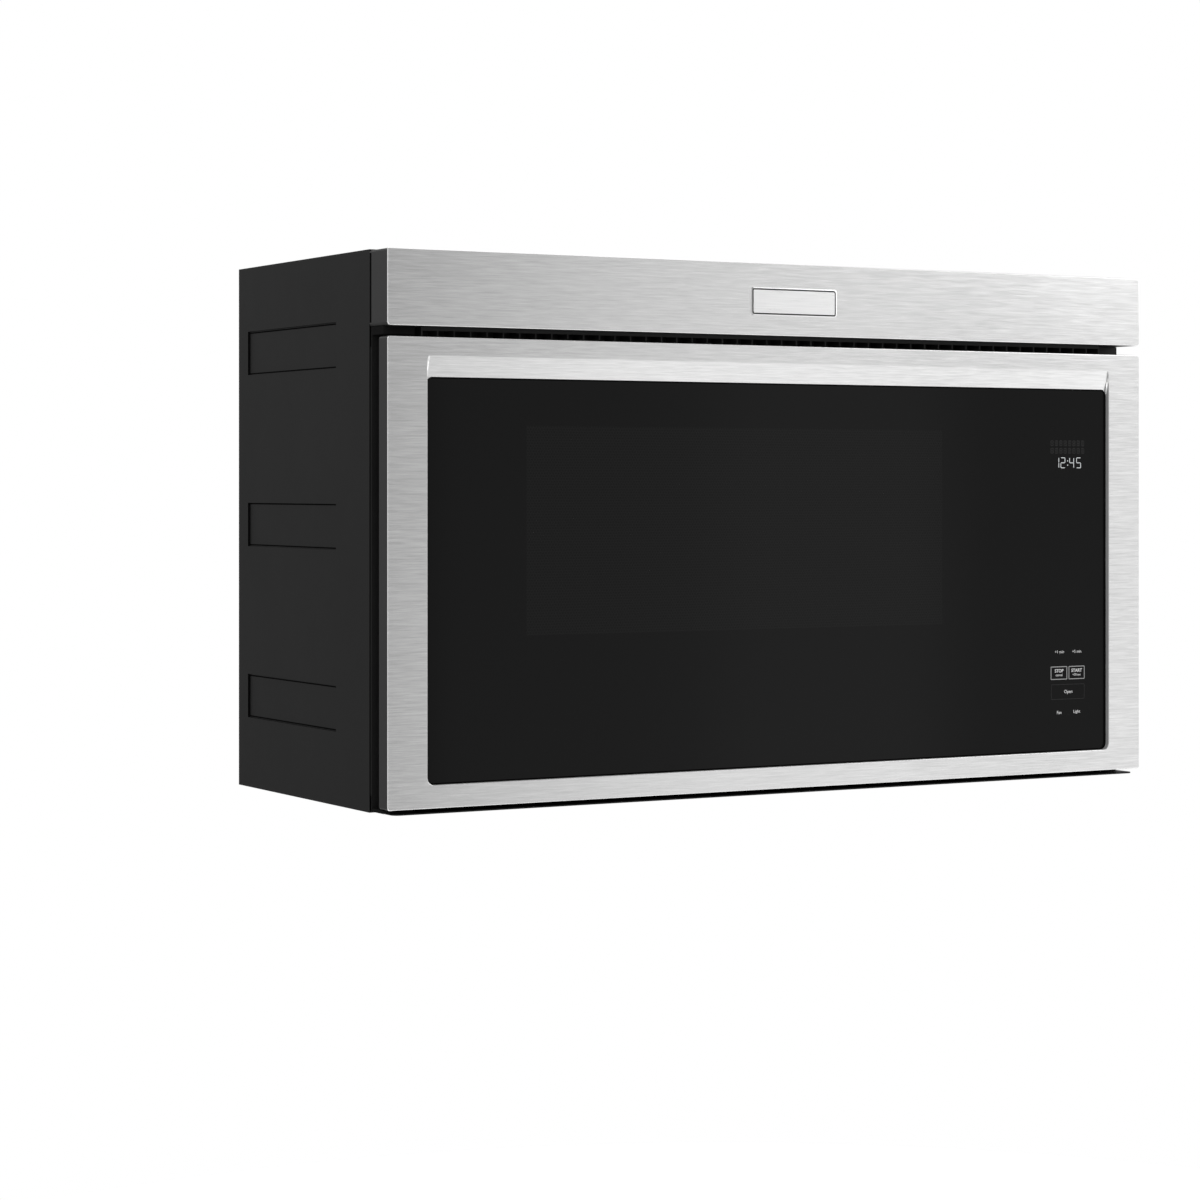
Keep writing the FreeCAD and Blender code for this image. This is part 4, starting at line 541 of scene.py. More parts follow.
def makeFrame(name, box, width, corner, y, depth, slotName, material):
    # a flat upright frame on the door: a sheet with its middle taken out
    bm = bmesh.new()
    middle = addSheet(bm, *box, y, corner, meshing["frameSteps"])
    bmesh.ops.inset_region(bm, faces=[middle], thickness=width, depth=0, use_even_offset=True,
                           use_boundary=True)
    bmesh.ops.delete(bm, geom=[middle], context="FACES")
    thicken(bm, bm.faces[:], depth)
    return addShape(name, bm, "door", slotName, material)


def cutAcross(bm, spot, normal, clear=False):
    return bmesh.ops.bisect_plane(bm, geom=bm.verts[:] + bm.edges[:] + bm.faces[:], plane_co=spot,
                                  plane_no=normal, clear_outer=clear)


def softenEdges(piece, width):
    rounding = piece.modifiers.new("edgeRounding", "BEVEL")
    rounding.width = width
    rounding.segments = meshing["softSteps"]
    rounding.limit_method = "ANGLE"
    rounding.angle_limit = math.radians(meshing["copyAngle"])
    rounding.harden_normals = True


def softCopy(nodeName, pieceName, bevel, shape=None, finish=None):
    # the node's own shape with its hard edges rounded, standing for the node
    source = nodes[nodeName]
    bm = bmesh.new()
    bm.from_mesh(source.data)
    bmesh.ops.remove_doubles(bm, verts=bm.verts, dist=meshing["copyJoin"])
    bmesh.ops.dissolve_limit(bm, angle_limit=math.radians(meshing["flatAngle"]), verts=bm.verts,
                             edges=bm.edges)
    if shape:
        shape(bm, *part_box(nodeName))
    piece = addPiece(pieceName, meshFrom(pieceName, bm, meshing["copyAngle"]), bodyOf[nodeName],
                     [finish or source.material_slots[0].material], (nodeName,))
    softenEdges(piece, bevel)
    if shape:
        evening = piece.modifiers.new("flatShading", "WEIGHTED_NORMAL")
        evening.keep_sharp = True
        evening.weight = 100
    return piece


# sheet pieces with soft edges: each radius and the steps that round it

steelEdges = {"outerCorner": 2.2 * mm, "panelFold": 1.0 * mm, "glassCorner": 6.2 * mm,
              "slopeCorner": 2.0 * mm, "glassFold": 0.5 * mm}
edgeSteps = {"outerCorner": 4, "panelFold": 3, "glassCorner": 6, "slopeCorner": 3, "glassFold": 4}
seamSizes = {"width": 3.8 * mm, "depth": 0.35 * mm, "wall": 0.1 * mm}

# how far in from a sheet's outline its rim, its bands and its ribs reach; a lean is the largest part of
# its normal that a wall may have across the sheet
steelZones = {"rim": 5 * mm, "topBand": 30 * mm, "lowBand": 10 * mm, "slopeDepth": 1 * mm,
              "wallSlack": 0.5 * mm, "wallLean": 0.05, "leastBend": 0.1}
ribZones = {"wall": 1.0 * mm, "ends": 20 * mm, "front": 40 * mm, "rear": 10 * mm, "wallLean": 0.5}


def roundEdges(bm, wanted, kind, clamp=True):
    # rounds the edges that the test picks
    bevelPart(bm, [edge for edge in bm.edges if wanted(edge)], steelEdges[kind], edgeSteps[kind], clamp=clamp)


def alongY(edge):
    step = edge.verts[1].co - edge.verts[0].co
    return abs(step.y) > touch and abs(step.x) < touch


def onFront(edge):
    return all(abs(vert.co.y - frontY) < touch for vert in edge.verts) \
        and max(face.normal.angle(Vector((0, -1, 0))) for face in edge.link_faces) > steelZones["leastBend"]


def outerEdge(edge, low, high):
    rim = steelZones["rim"]
    return all(vert.co.x < low.x + rim or vert.co.x > high.x - rim or vert.co.z < low.z + rim
               or vert.co.z > high.z - rim for vert in edge.verts)


def cornerEdge(edge, low, high):
    return alongY(edge) and all(min(vert.co.x - low.x, high.x - vert.co.x) < touch
                                and min(vert.co.z - low.z, high.z - vert.co.z) < touch for vert in edge.verts)


def foldPanel(bm, low, high):
    roundEdges(bm, lambda edge: onFront(edge) and outerEdge(edge, low, high), "panelFold")


def roundCorners(bm, low, high):
    roundEdges(bm, lambda edge: cornerEdge(edge, low, high), "outerCorner")


def foldDoor(bm, low, high):
    # the four corners of the opening, with the slope's two sides above the glass
    side = max(abs(vert.co.x) for edge in bm.edges if onFront(edge) and not outerEdge(edge, low, high)
               for vert in edge.verts)
    openTop = high.z - steelZones["topBand"]

    def onSide(edge):
        return all(abs(abs(vert.co.x) - side) < touch for vert in edge.verts)

    def glassCorner(edge):
        a, b = (vert.co for vert in edge.verts)
        return alongY(edge) and onSide(edge) and abs(a.z - b.z) < touch and a.z < openTop

    def slopeSide(edge):
        a, b = sorted((vert.co for vert in edge.verts), key=lambda spot: spot.y)
        return onSide(edge) and abs(a.y - frontY) < touch and b.y > a.y + steelZones["slopeDepth"] \
            and abs(a.z - b.z) > 10 * touch

    roundEdges(bm, glassCorner, "glassCorner", False)
    roundEdges(bm, slopeSide, "slopeCorner", False)
    # the walls round the glass are cut edges, not brushed
    bm.normal_update()
    for face in bm.faces:
        spot = face.calc_center_median()
        inOpening = abs(spot.x) < side + steelZones["wallSlack"] \
            and low.z + steelZones["lowBand"] < spot.z < openTop
        if inOpening and abs(face.normal.y) < steelZones["wallLean"] and spot.y < glassY:
            face.material_index = 1
    roundCorners(bm, low, high)
    foldPanel(bm, low, high)
    roundEdges(bm, lambda edge: onFront(edge) and not outerEdge(edge, low, high), "glassFold")


def shapeSurround(bm, low, high):
    # the vent's frame: round corners, and a shallow groove where it meets the case, its faces given the
    # near-black finish as painted shade
    roundCorners(bm, low, high)
    seamStart = high.y - seamSizes["width"]
    cutAcross(bm, (0, seamStart, 0), (0, 1, 0))
    for wall in (low.x, high.x):
        band = [face for face in bm.faces if abs(face.calc_center_median().x - wall) < touch
                and all(vert.co.y > seamStart - touch for vert in face.verts)]
        bmesh.ops.inset_region(bm, faces=band, thickness=seamSizes["wall"], depth=-seamSizes["depth"])
        for face in band:
            face.material_index = 1


def shadeRibWalls(bm, low, high):
    # painted shade: the walls of the ribs pressed into the case's sides get the near-black second finish,
    # standing for the shade along the ribs
    bm.normal_update()
    for face in bm.faces:
        spot = face.calc_center_median()
        onSide = min(spot.x - low.x, high.x - spot.x) < ribZones["wall"]
        inside = low.z + ribZones["ends"] < spot.z < high.z - ribZones["ends"] \
            and low.y + ribZones["front"] < spot.y < high.y - ribZones["rear"]
        if onSide and inside and abs(face.normal.x) < ribZones["wallLean"]:
            face.material_index = 1


# node: piece and edge rounding, then its own shaping and its own finish where it has them
softEdges = {
    "vent_panel": ("ventFace", 0.12 * mm, foldPanel),
    "vent_frame": ("ventSurround", 0.3 * mm, shapeSurround),
    "door_skin": ("doorFace", 0.12 * mm, foldDoor),
    "door_frame": ("doorSurround", 0.4 * mm, roundCorners),
    "outer_glass": ("doorGlass", 0.3 * mm),
    "outer_case": ("caseWrap", 0.3 * mm, shadeRibWalls),
    "base_pan": ("basePan", 0.3 * mm),
    "rear_panel": ("rearSheet", 0.2 * mm),
    "wall_plate": ("wallPlate", 0.4 * mm),
    "cavity_front_plate": ("frontPlate", 0.25 * mm),
    "exhaust_louvre": ("slotLouvre", 0.2 * mm, None, louvreFinish),
    "door_liner": ("linerPan", 0.25 * mm, None, linerFinish),
    "ceramic_floor": ("ovenFloor", 0.6 * mm),
    # the hinge brackets take the painted-shade steel
    "hinge_bracket_top": ("upperHinge", 0.3 * mm, None, slotShadeSteel),
    "hinge_bracket_bottom": ("lowerHinge", 0.3 * mm, None, slotShadeSteel),
    "latch_hooks": ("latchHooks", 0.3 * mm),
    "latch_board": ("latchBracket", 0.3 * mm),
    "grease_frame_left": ("filterRimLeft", 0.4 * mm),
    "grease_frame_right": ("filterRimRight", 0.4 * mm),
    "cooktop_lens_left": ("lensLeft", 0.4 * mm),
    "cooktop_lens_right": ("lensRight", 0.4 * mm),
    "exhaust_collar": ("exhaustCollar", 0.2 * mm),
}
# painted shade: the case's rib walls and the vent frame's seam take the near-black finish as their second
# finish
secondFinishes = {"outer_case": paintedShade, "door_skin": cutEdge, "vent_frame": paintedShade}
for nodeName, values in softEdges.items():
    piece = softCopy(nodeName, *values)
    if nodeName in secondFinishes:
        piece.data.materials.append(secondFinishes[nodeName])
print("soft edges:", len(softEdges), "pieces")


# bare plate in the vent panel

plateSizes = {"corner": 3.0 * mm, "rim": 0.9 * mm, "groove": 1.0 * mm, "grooveDepth": 0.45 * mm,
              "grooveWall": 0.15 * mm, "crown": 0.2 * mm}


def makeBlankPlate():
    low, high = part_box("blank_plate")
    bm = bmesh.new()
    crown, depth = plateSizes["crown"], plateSizes["grooveDepth"]
    sheet = addSheet(bm, low.x, high.x, low.z, high.z, low.y + crown, plateSizes["corner"],
                     meshing["plateSteps"])
    thicken(bm, [sheet], high.y - low.y - crown)
    bmesh.ops.recalc_face_normals(bm, faces=bm.faces)
    face = min(bm.faces, key=lambda side: side.calc_center_median().y)
    bmesh.ops.inset_region(bm, faces=[face], thickness=plateSizes["rim"], depth=crown, use_even_offset=True)
    bmesh.ops.inset_region(bm, faces=[face], thickness=plateSizes["grooveWall"], depth=-depth)
    outside = set(bm.faces)
    bmesh.ops.inset_region(bm, faces=[face], thickness=plateSizes["groove"], depth=0)
    for ring in set(bm.faces) - outside:
        ring.material_index = 1
    bmesh.ops.inset_region(bm, faces=[face], thickness=plateSizes["grooveWall"], depth=depth)
    addShape("blankPlate", bm, "housing", "badge_metal", finishes["badge_metal"], finishes["dark_frame"],
             replaced=("blank_plate",))


makeBlankPlate()


# printing on the glass: clock, ghost characters and keys

printDepth = 0.03 * mm
printMiddle = glassY - printDepth / 2

# segments that are lit in a numeral, by letter from the top clockwise, g in the middle
litSegments = {"1": "bc", "2": "abged", "4": "fgbc", "5": "afgcd", "8": "abcdefg"}

# shares of the stroke: the gap between two bars and the points at a bar's ends
barShares = {"gap": 0.75, "point": 0.42}


def addBar(bm, left, right, low, high, point):
    # one segment: a flat bar whose corners are cut to points
    place = Matrix.Translation(((left + right) / 2, printMiddle, (low + high) / 2)) \
        @ Matrix.Diagonal((right - left, printDepth, high - low, 1))
    made = bmesh.ops.create_cube(bm, size=1.0, matrix=place)
    ends = {edge for vert in made["verts"] for edge in vert.link_edges if alongY(edge)}
    bevelPart(bm, ends, point, meshing["softSteps"], clamp=True)


def addSegments(bm, letters, right, low, width, height, stroke):
    left, high, middle = right - width, low + height, low + height / 2
    gap = stroke * barShares["gap"]
    bars = {
        "a": (left + gap, right - gap, high - stroke, high),
        "b": (right - stroke, right, middle + gap / 2, high - gap),
        "c": (right - stroke, right, low + gap, middle - gap / 2),
        "d": (left + gap, right - gap, low, low + stroke),
        "e": (left, left + stroke, low + gap, middle - gap / 2),
        "f": (left, left + stroke, middle + gap / 2, high - gap),
        "g": (left + gap, right - gap, middle - stroke / 2, middle + stroke / 2),
    }
    for letter in letters:
        addBar(bm, *bars[letter], stroke * barShares["point"])


clockSizes = {"low": 279.3 * mm, "height": 9.7 * mm, "width": 5.3 * mm, "stroke": 0.64 * mm,
              "rights": {"1": 292.2 * mm, "2": 299.2 * mm, "4": 309.1 * mm, "5": 317.0 * mm},
              "colonX": 301.9 * mm, "colonHalf": 0.5 * mm, "colonUp": (2.7 * mm, 6.6 * mm)}


def makeClock():
    bm = bmesh.new()
    for numeral, right in clockSizes["rights"].items():
        addSegments(bm, litSegments[numeral], right, clockSizes["low"], clockSizes["width"],
                    clockSizes["height"], clockSizes["stroke"])
    middle, half = clockSizes["colonX"], clockSizes["colonHalf"]
    for up in clockSizes["colonUp"]:
        level = clockSizes["low"] + up
        addBar(bm, middle - half, middle + half, level - half, level + half, half / 2)
    addShape("clockDigits", bm, "door", "white_plastic", clockFinish)


makeClock()

ghostSizes = {"left": 282.6 * mm, "pitch": 4.96 * mm, "width": 3.3 * mm, "height": 5.0 * mm, "count": 8,
              "rows": (292.5 * mm, 299.3 * mm), "stroke": 0.5 * mm, "postEnd": 0.65 * mm,
              "postPoint": 0.15 * mm}


def makeGhosts():
    # unlit characters, each an eight with a post in its middle
    bm = bmesh.new()
    width, height, stroke = ghostSizes["width"], ghostSizes["height"], ghostSizes["stroke"]
    for low in ghostSizes["rows"]:
        for index in range(ghostSizes["count"]):
            left = ghostSizes["left"] + ghostSizes["pitch"] * index
            middle = left + width / 2
            addSegments(bm, litSegments["8"], left + width, low, width, height, stroke)
            addBar(bm, middle - stroke / 2, middle + stroke / 2, low + ghostSizes["postEnd"],
                   low + height - ghostSizes["postEnd"], ghostSizes["postPoint"])
    addShape("ghostCharacters", bm, "door", "black_plastic", printFaint)


makeGhosts()

# left, right, low and high, then the line's width and its corners
keyFrames = {
    "stopKey": ((282.7 * mm, 301.4 * mm, 88.0 * mm, 100.0 * mm), 0.75 * mm, 0.9 * mm),
    "startKey": ((303.0 * mm, 321.2 * mm, 88.0 * mm, 100.0 * mm), 0.75 * mm, 0.9 * mm),
    "openKey": ((283.2 * mm, 321.0 * mm, 70.0 * mm, 83.8 * mm), 0.5 * mm, 1.2 * mm),
}
for keyName, values in keyFrames.items():
    slotName, ink = ("black_plastic", printFaint) if keyName == "openKey" else ("white_plastic", printFrame)
    makeFrame(keyName, *values, glassY, -printDepth, slotName, ink)

# the opening of the door's skin: half its width, its low edge, and the foot of the slope over the glass
slopeZone = (frontY + 2 * mm, glassY - 0.4 * mm)
skinSpots = [vert.co for vert in nodes["door_skin"].data.vertices]
openSide = min(abs(spot.x) for spot in skinSpots)
openLow = min(spot.z for spot in skinSpots if abs(abs(spot.x) - openSide) < touch)
slopeFoot = min((spot for spot in skinSpots if slopeZone[0] < spot.y < slopeZone[1]), key=lambda spot: spot.z)

# painted shade: a near-black ring lying on the glass along the opening's border, standing for the shade the
# opening's walls cast there
makeFrame("glassGasket", (-openSide, openSide, openLow, slopeFoot.z), 1.3 * mm, steelEdges["glassCorner"],
          glassY, -printDepth, "black_plastic", paintedShade)

cornerSizes = {"reach": 1.42, "steps": 12, "thickness": 0.7 * mm, "tilt": 6.5}


def makeCornerFills():
    # steel in the two round corners at the foot of the slope
    radius = steelEdges["glassCorner"]
    bm = bmesh.new()
    for way in (-1, 1):
        centre = Vector((way * (openSide - radius), slopeFoot.y, slopeFoot.z - radius))
        ends = [bm.verts.new(centre + Vector((way * radius * share, 0, 0)))
                for share in (1.0, cornerSizes["reach"])]
        bmesh.ops.spin(bm, geom=ends + [bm.edges.new(ends)], cent=centre, axis=(0, -way, 0), dvec=(0, 0, 0),
                       angle=quarter, steps=cornerSizes["steps"], use_merge=False)
    thicken(bm, bm.faces[:], cornerSizes["thickness"])
    bmesh.ops.rotate(bm, verts=bm.verts, cent=(0, slopeFoot.y, slopeFoot.z),
                     matrix=Matrix.Rotation(math.radians(cornerSizes["tilt"]), 3, "X"))
    addShape("glassCorners", bm, "door", "stainless", finishes["stainless"])


makeCornerFills()

# plain words and numbers on the keys: text, size, middle, base line, extra weight
keyWords = {
    "keyStop": ("STOP", 4.1 * mm, 292.2 * mm, 94.6 * mm, 0.10 * mm),
    "keyCancel": ("cancel", 3.1 * mm, 292.2 * mm, 91.2 * mm, 0.02 * mm),
    "keyStart": ("START", 4.1 * mm, 312.1 * mm, 94.6 * mm, 0.10 * mm),
    "keyAddSeconds": ("+30 sec", 3.0 * mm, 312.1 * mm, 91.2 * mm, 0.02 * mm),
    "keyOneMinute": ("+1 min", 3.7 * mm, 292.6 * mm, 111.9 * mm, 0.03 * mm),
    "keyFiveMinutes": ("+5 min", 3.7 * mm, 312.3 * mm, 111.9 * mm, 0.03 * mm),
    "keyOpen": ("Open", 4.2 * mm, 302.6 * mm, 75.6 * mm, 0.03 * mm),
    "keyFan": ("Fan", 4.0 * mm, 292.3 * mm, 57.0 * mm, 0.03 * mm),
    "keyLight": ("Light", 4.0 * mm, 312.2 * mm, 57.4 * mm, 0.03 * mm),
}


def addText(name, words, size, middle, base, heavy):
    curve = bpy.data.curves.new(name, "FONT")
    curve.body = words
    curve.size = size
    curve.align_x = "CENTER"
    curve.extrude = printDepth / 2
    curve.offset = heavy
    curve.resolution_u = 3
    holder = addObject(name + "Curve", curve)
    bpy.context.view_layer.update()
    mesh = bpy.data.meshes.new_from_object(holder.evaluated_get(bpy.context.evaluated_depsgraph_get()))
    bpy.data.objects.remove(holder)
    mesh.transform(Matrix.Translation((middle, printMiddle, base)) @ upright)
    mesh.name = name
    addPiece(name, mesh, "door", [printInk])


for keyName, values in keyWords.items():
    addText(keyName, *values)
print("printing on the glass done")


# case: painted shade, near-black strips along the outlines of the pressed ribs of both sides

ribShadeSizes = {"width": 1.1 * mm, "lift": 0.06 * mm, "depth": 1.5 * mm, "front": 99.2 * mm,
               "rear": 282.6 * mm,
               "heights": ((61.5 * mm, 98.0 * mm), (211.3 * mm, 248.3 * mm), (360.7 * mm, 397.3 * mm))}


def makeRibShade():
    low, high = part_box("outer_case")
    front, rear = frontY + ribShadeSizes["front"], frontY + ribShadeSizes["rear"]
    width, lift = ribShadeSizes["width"], ribShadeSizes["lift"]
    bm = bmesh.new()
    for floor in (low.x + ribShadeSizes["depth"], high.x - ribShadeSizes["depth"]):
        left, right = floor - lift, floor + lift
        for bottom, top in ribShadeSizes["heights"]:
            addBlock(bm, (left, front, bottom), (right, rear, bottom + width))
            addBlock(bm, (left, front, top - width), (right, rear, top))
            addBlock(bm, (left, rear - width, bottom), (right, rear, top))
    addShape("ribCreases", bm, "housing", "case_paint", paintedShade)


makeRibShade()


# inside face of the door: the cover of its edge channel, and four bumpers

linerLow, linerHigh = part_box("door_liner")
coverSizes = {"inset": 6 * mm, "width": 20 * mm, "thickness": 0.6 * mm, "corner": 8 * mm, "roundShare": 0.35}
bumperSizes = {"radius": 4.0 * mm, "reach": 0.9 * mm, "inset": 19 * mm, "bevel": 0.35 * mm, "sides": 24}


def makeChokeCover():
    gap, thickness = coverSizes["inset"], coverSizes["thickness"]
    box = (linerLow.x + gap, linerHigh.x - gap, linerLow.z + gap, linerHigh.z - gap)
    cover = makeFrame("chokeCover", box, coverSizes["width"], coverSizes["corner"], linerY, thickness,
                      "black_plastic", finishes["black_plastic"])
    softenEdges(cover, thickness * coverSizes["roundShare"])


def makeBumpers():
    bm = bmesh.new()
    gap, reach = bumperSizes["inset"], bumperSizes["reach"]
    for x in (linerLow.x + gap, linerHigh.x - gap):
        for z in (linerLow.z + gap, linerHigh.z - gap):
            addDisc(bm, (x, linerY + reach / 2, z), bumperSizes["radius"], reach, "Y",
                    bumperSizes["sides"], bumperSizes["bevel"])
    addShape("doorBumpers", bm, "door", "black_plastic", finishes["black_plastic"])


makeChokeCover()
makeBumpers()
print("door back done")


# inside the cavity: air holes, lamp holes and shelf knobs

cavityLow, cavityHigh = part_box("oven_cavity")
cavitySizes = {"sheet": 0.7 * mm, "holeRadius": 1.5 * mm, "pitch": 4.6 * mm, "lift": 0.08 * mm, "sides": 12}
leftWall, rightWall = cavityLow.x + cavitySizes["sheet"], cavityHigh.x - cavitySizes["sheet"]

# wall, depth and height of the middle, then the holes along and up
holePatches = {
    "lampHoles": (rightWall, 64 * mm, 314 * mm, 6, 7),
    "airHoles": (rightWall, 168 * mm, 300 * mm, 18, 7),
    "steamHoles": (leftWall, 150 * mm, 296 * mm, 26, 5),
}
knobSizes = {"radius": 5.0 * mm, "reach": 7.0 * mm, "bevel": 1.2 * mm, "sides": 32, "height": 205 * mm,
             "depths": (90 * mm, 225 * mm)}


# painted shade: each hole is a thin near-black disc on the wall, standing for the dark inside of the hole
def makeHolePatch(name, wall, depth, height, along, rows):
    pitch = cavitySizes["pitch"]
    rowStep = pitch * math.sin(math.radians(60))
    bm = bmesh.new()
    for row in range(rows):
        odd = row % 2
        for column in range(along - odd):
            y = frontY + depth + (column + 0.5 * odd - (along - 1) / 2) * pitch
            z = height + (row - (rows - 1) / 2) * rowStep
            addDisc(bm, (wall, y, z), cavitySizes["holeRadius"], cavitySizes["lift"] * 2, "X",
                    cavitySizes["sides"])
    addShape(name, bm, "housing", "cavity_enamel", paintedShade)


def makeShelfKnobs():
    bm = bmesh.new()
    reach = knobSizes["reach"]
    for middle in (leftWall + reach / 2, rightWall - reach / 2):
        for depth in knobSizes["depths"]:
            addDisc(bm, (middle, frontY + depth, knobSizes["height"]), knobSizes["radius"], reach, "X",
                    knobSizes["sides"], knobSizes["bevel"])
    addShape("shelfKnobs", bm, "housing", "white_plastic", finishes["white_plastic"])


for name, values in holePatches.items():
    makeHolePatch(name, *values)
makeShelfKnobs()
print("cavity details done")


# underside: aluminium mesh in the grease filters

meshSizes = {"pitch": 4.2 * mm, "strand": 0.7 * mm, "thickness": 0.45 * mm, "layers": 3, "angle": 32,
             "layerTurn": 7}


def makeFilterMesh(side):
    low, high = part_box(f"grease_mesh_{side}")
    centre, reach, thickness = (low + high) / 2, (high - low).length, meshSizes["thickness"]
    count = int(reach / meshSizes["pitch"] / 2) + 1
    bm = bmesh.new()
    for layer in range(meshSizes["layers"]):
        level = low.z + (high.z - low.z) * (layer + 0.5) / meshSizes["layers"]
        for lean in (-1, 1):
            degrees = 90 + lean * meshSizes["angle"] + layer * meshSizes["layerTurn"]
            place = Matrix.Translation((centre.x, centre.y, level + lean * thickness / 2)) \
                @ Matrix.Rotation(math.radians(degrees), 4, "Z")
            for index in range(-count, count + 1):
                strand = Matrix.Translation((0, index * meshSizes["pitch"], 0)) \
                    @ Matrix.Diagonal((reach, meshSizes["strand"], thickness, 1))
                bmesh.ops.create_cube(bm, size=1.0, matrix=place @ strand)
    # trimmed to the rim on its four sides, each cut capped
    for spot, outward in ((low, (-1, 0, 0)), (low, (0, -1, 0)), (high, (1, 0, 0)), (high, (0, 1, 0))):
        cut = cutAcross(bm, spot, outward, True)
        edges = [item for item in cut["geom_cut"] if isinstance(item, bmesh.types.BMEdge)]
        bmesh.ops.holes_fill(bm, edges=edges, sides=4)
    bmesh.ops.recalc_face_normals(bm, faces=bm.faces)
    addPiece(f"filterMesh_{side}", meshFrom(f"filterMesh_{side}", bm), f"{side}_filter",
             [finishes["aluminium"]], (f"grease_mesh_{side}",))


for side in ("left", "right"):
    makeFilterMesh(side)
print("filter meshes done")


# screws: dark crosses on the rear's heads, painted shade for their cross recesses, and countersunk heads that
# lie flush in the base, each with a dark cross of painted shade

screwSizes = {"crossLong": 2.4 * mm, "crossWide": 0.7 * mm, "lift": 0.03 * mm, "cellX": 20 * mm,
              "cellZ": 100 * mm}
baseScrewSizes = {"radius": 3.4 * mm, "thickness": 0.16 * mm, "insetX": 22 * mm, "insetY": 20 * mm,
                  "sides": 28}

# shares of a base screw's radius, and of its thickness
baseCrossShares = {"long": 0.6, "wide": 0.17, "lift": 0.75}


def makeScrewCrosses():
    # each screw of the frame keeps its head; its points lie in a cell of their own
    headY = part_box("case_screws")[1].y
    heads = {}
    for vert in nodes["case_screws"].data.vertices:
        if vert.co.y > headY - touch:
            cell = (round(vert.co.x / screwSizes["cellX"]), round(vert.co.z / screwSizes["cellZ"]))
            heads.setdefault(cell, []).append(vert.co)
    bm = bmesh.new()
    for spots in heads.values():
        x = (min(spot.x for spot in spots) + max(spot.x for spot in spots)) / 2
        z = (min(spot.z for spot in spots) + max(spot.z for spot in spots)) / 2
        addCross(bm, Vector((x, headY, z)), "Y", screwSizes["crossLong"], screwSizes["crossWide"],
                 screwSizes["lift"])
    addShape("screwCrosses", bm, "housing", "black_plastic", finishes["black_plastic"])


def makeBaseScrews():
    low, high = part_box("base_pan")
    inset = Vector((baseScrewSizes["insetX"], baseScrewSizes["insetY"], 0))
    first, last = low + inset, high - inset
    radius, thickness = baseScrewSizes["radius"], baseScrewSizes["thickness"]
    bm = bmesh.new()
    for x in (first.x, (first.x + last.x) / 2, last.x):
        for y in (first.y, last.y):
            centre = Vector((x, y, low.z))
            addDisc(bm, centre, radius, thickness, "Z", baseScrewSizes["sides"])
            addCross(bm, centre, "Z", radius * baseCrossShares["long"], radius * baseCrossShares["wide"],
                     thickness * baseCrossShares["lift"], 1)
    addShape("baseScrews", bm, "housing", "bare_steel", finishes["bare_steel"], finishes["black_plastic"])


makeScrewCrosses()
makeBaseScrews()


# studio: floor, world, lamps and camera

studio = {"floorMiddle": -0.3, "floorDrop": 0.55, "floorRadius": 1.15, "floorGlow": 0.55, "floorShade": 0.8,
          "fill": 0.62, "lowWalls": 1.4, "highWalls": 0.76, "slantReach": 0.3}


def makeFloor():
    bm = bmesh.new()
    bmesh.ops.create_circle(bm, cap_ends=True, radius=studio["floorRadius"], segments=96,
                            matrix=Matrix.Translation((0, studio["floorMiddle"], -studio["floorDrop"])))
    mesh = meshFrom("studioFloor", bm)
    floor = addObject("studioFloor", mesh)
    material, tree, shader = newFinish("floorWhite", Base_Color=studio["floorShade"], Roughness=0.9,
                                       Specular_IOR_Level=0.0)
    rays = addNode(tree, "ShaderNodeLightPath").outputs
    seen = maths(tree, "MAXIMUM", rays["Is Camera Ray"],
                 maths(tree, "MAXIMUM", rays["Is Glossy Ray"], rays["Is Transmission Ray"]))
    glow = feed(tree, addNode(tree, "ShaderNodeEmission"), Strength=product(tree, seen, studio["floorGlow"]))
    total = wired(tree, "ShaderNodeAddShader", shader.outputs[0], glow.outputs[0])[0]
    # seen from below, the floor lets the view through
    below = wired(tree, "ShaderNodeMixShader", addNode(tree, "ShaderNodeNewGeometry").outputs["Backfacing"],
                  total, addNode(tree, "ShaderNodeBsdfTransparent").outputs[0])[0]
    feed(tree, tree.nodes["Material Output"], Surface=below)
    mesh.materials.append(material)


makeFloor()

# brightness of the studio walls by compass angle: 0 is in front of the door, 90 to the right
sweep = {-180: 0.30, -125: 0.30, -105: 0.5, -90: 0.96, -15: 0.96, -5: 0.5, 8: 0.24, 25: 0.26, 26.4: 0.74,
         30.8: 0.80, 31.4: 1.02, 35.6: 1.02, 36.2: 0.72, 39.6: 0.72, 42: 1.2, 72: 1.2, 110: 0.7, 180: 0.30}


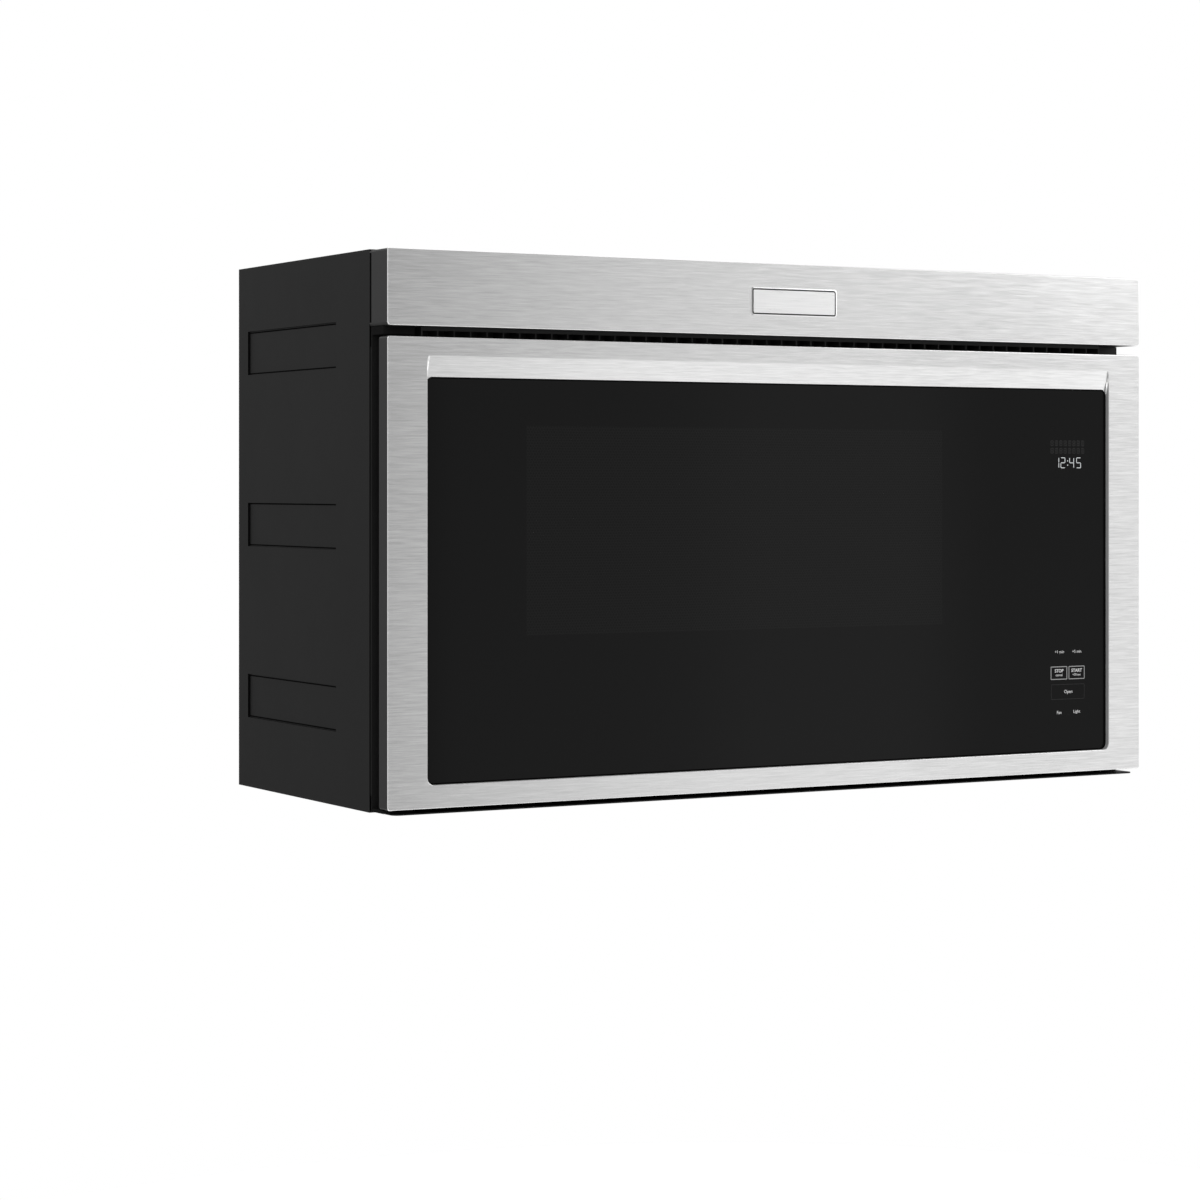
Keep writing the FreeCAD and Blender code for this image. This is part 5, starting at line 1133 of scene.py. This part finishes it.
def makeWorld():
    # the curve's own range ends at one, so it holds shares of the brightest level
    brightest = 2.0
    world = bpy.data.worlds.new("studioWalls")
    scene.world = world
    world.use_nodes = True
    tree = world.node_tree
    parts = wired(tree, "ShaderNodeSeparateXYZ", addNode(tree, "ShaderNodeTexCoord").outputs["Generated"])
    forward = product(tree, parts["Y"], -1.0)
    angle = maths(tree, "DEGREES", maths(tree, "ARCTAN2", parts["X"], forward))
    curve = addNode(tree, "ShaderNodeFloatCurve")
    points = curve.mapping.curves[0].points
    spots = [((degrees + 180) / 360, level / brightest) for degrees, level in sweep.items()]
    points[0].location, points[-1].location = spots[0], spots[-1]
    for spot in spots[1:-1]:
        points.new(*spot)
    for point in points:
        point.handle_type = "VECTOR"
    curve.mapping.update()
    feed(tree, curve, Value=ranged(tree, angle, 0.0, 1.0, -180.0, 180.0))
    # in front the walls are brighter low down, behind they are brighter high up
    slant, reach = product(tree, parts["Z"], forward), studio["slantReach"]
    tilt = ranged(tree, slant, studio["lowWalls"], studio["highWalls"], -reach, reach)
    walls = product(tree, curve.outputs[0], brightest, tilt)
    rays = addNode(tree, "ShaderNodeLightPath").outputs
    seen = maths(tree, "MAXIMUM", rays["Is Camera Ray"], rays["Is Transmission Ray"])
    mirrored = blended(tree, rays["Is Glossy Ray"], studio["fill"], walls, "FLOAT")
    feed(tree, tree.nodes["Background"], Color=1, Strength=blended(tree, seen, mirrored, 1.0, "FLOAT"))


makeWorld()

# place, width and height, power
lamps = {
    "keyLamp": ((-2.3, -2.6, 2.4), (3.4, 2.8), 34),
    "sideLamp": ((2.6, -2.2, 1.6), (1.6, 1.6), 22),
    "topLamp": ((0.2, 0.9, 2.8), (3.4, 2.4), 26),
    "edgeLamp": ((-1.5, 1.1, 1.5), (0.8, 0.8), 5),
}
aim = Vector((0, -0.16, 0.22))
for lampName, (place, size, power) in lamps.items():
    light = bpy.data.lights.new(lampName, "AREA")
    light.shape = "RECTANGLE"
    light.size, light.size_y = size
    light.energy = power
    lamp = addObject(lampName, light)
    lamp.location = place
    lamp.visible_camera = False
    lamp.rotation_euler = (aim - lamp.location).to_track_quat("-Z", "Y").to_euler()

# the photograph's viewpoint
view = {"place": (-1.441, -2.54685, 0.264), "turn": -29.43, "lens": 92.61, "sensor": 36, "shift": -0.0958}
camera = bpy.data.cameras.new("productCamera")
camera.lens = view["lens"]
camera.sensor_width = view["sensor"]
camera.shift_y = view["shift"]
cameraObject = addObject("productCamera", camera)
cameraObject.location = view["place"]
cameraObject.rotation_euler = (quarter, 0, math.radians(view["turn"]))
scene.camera = cameraObject
scene.view_settings.view_transform = "Standard"
print("studio ready")
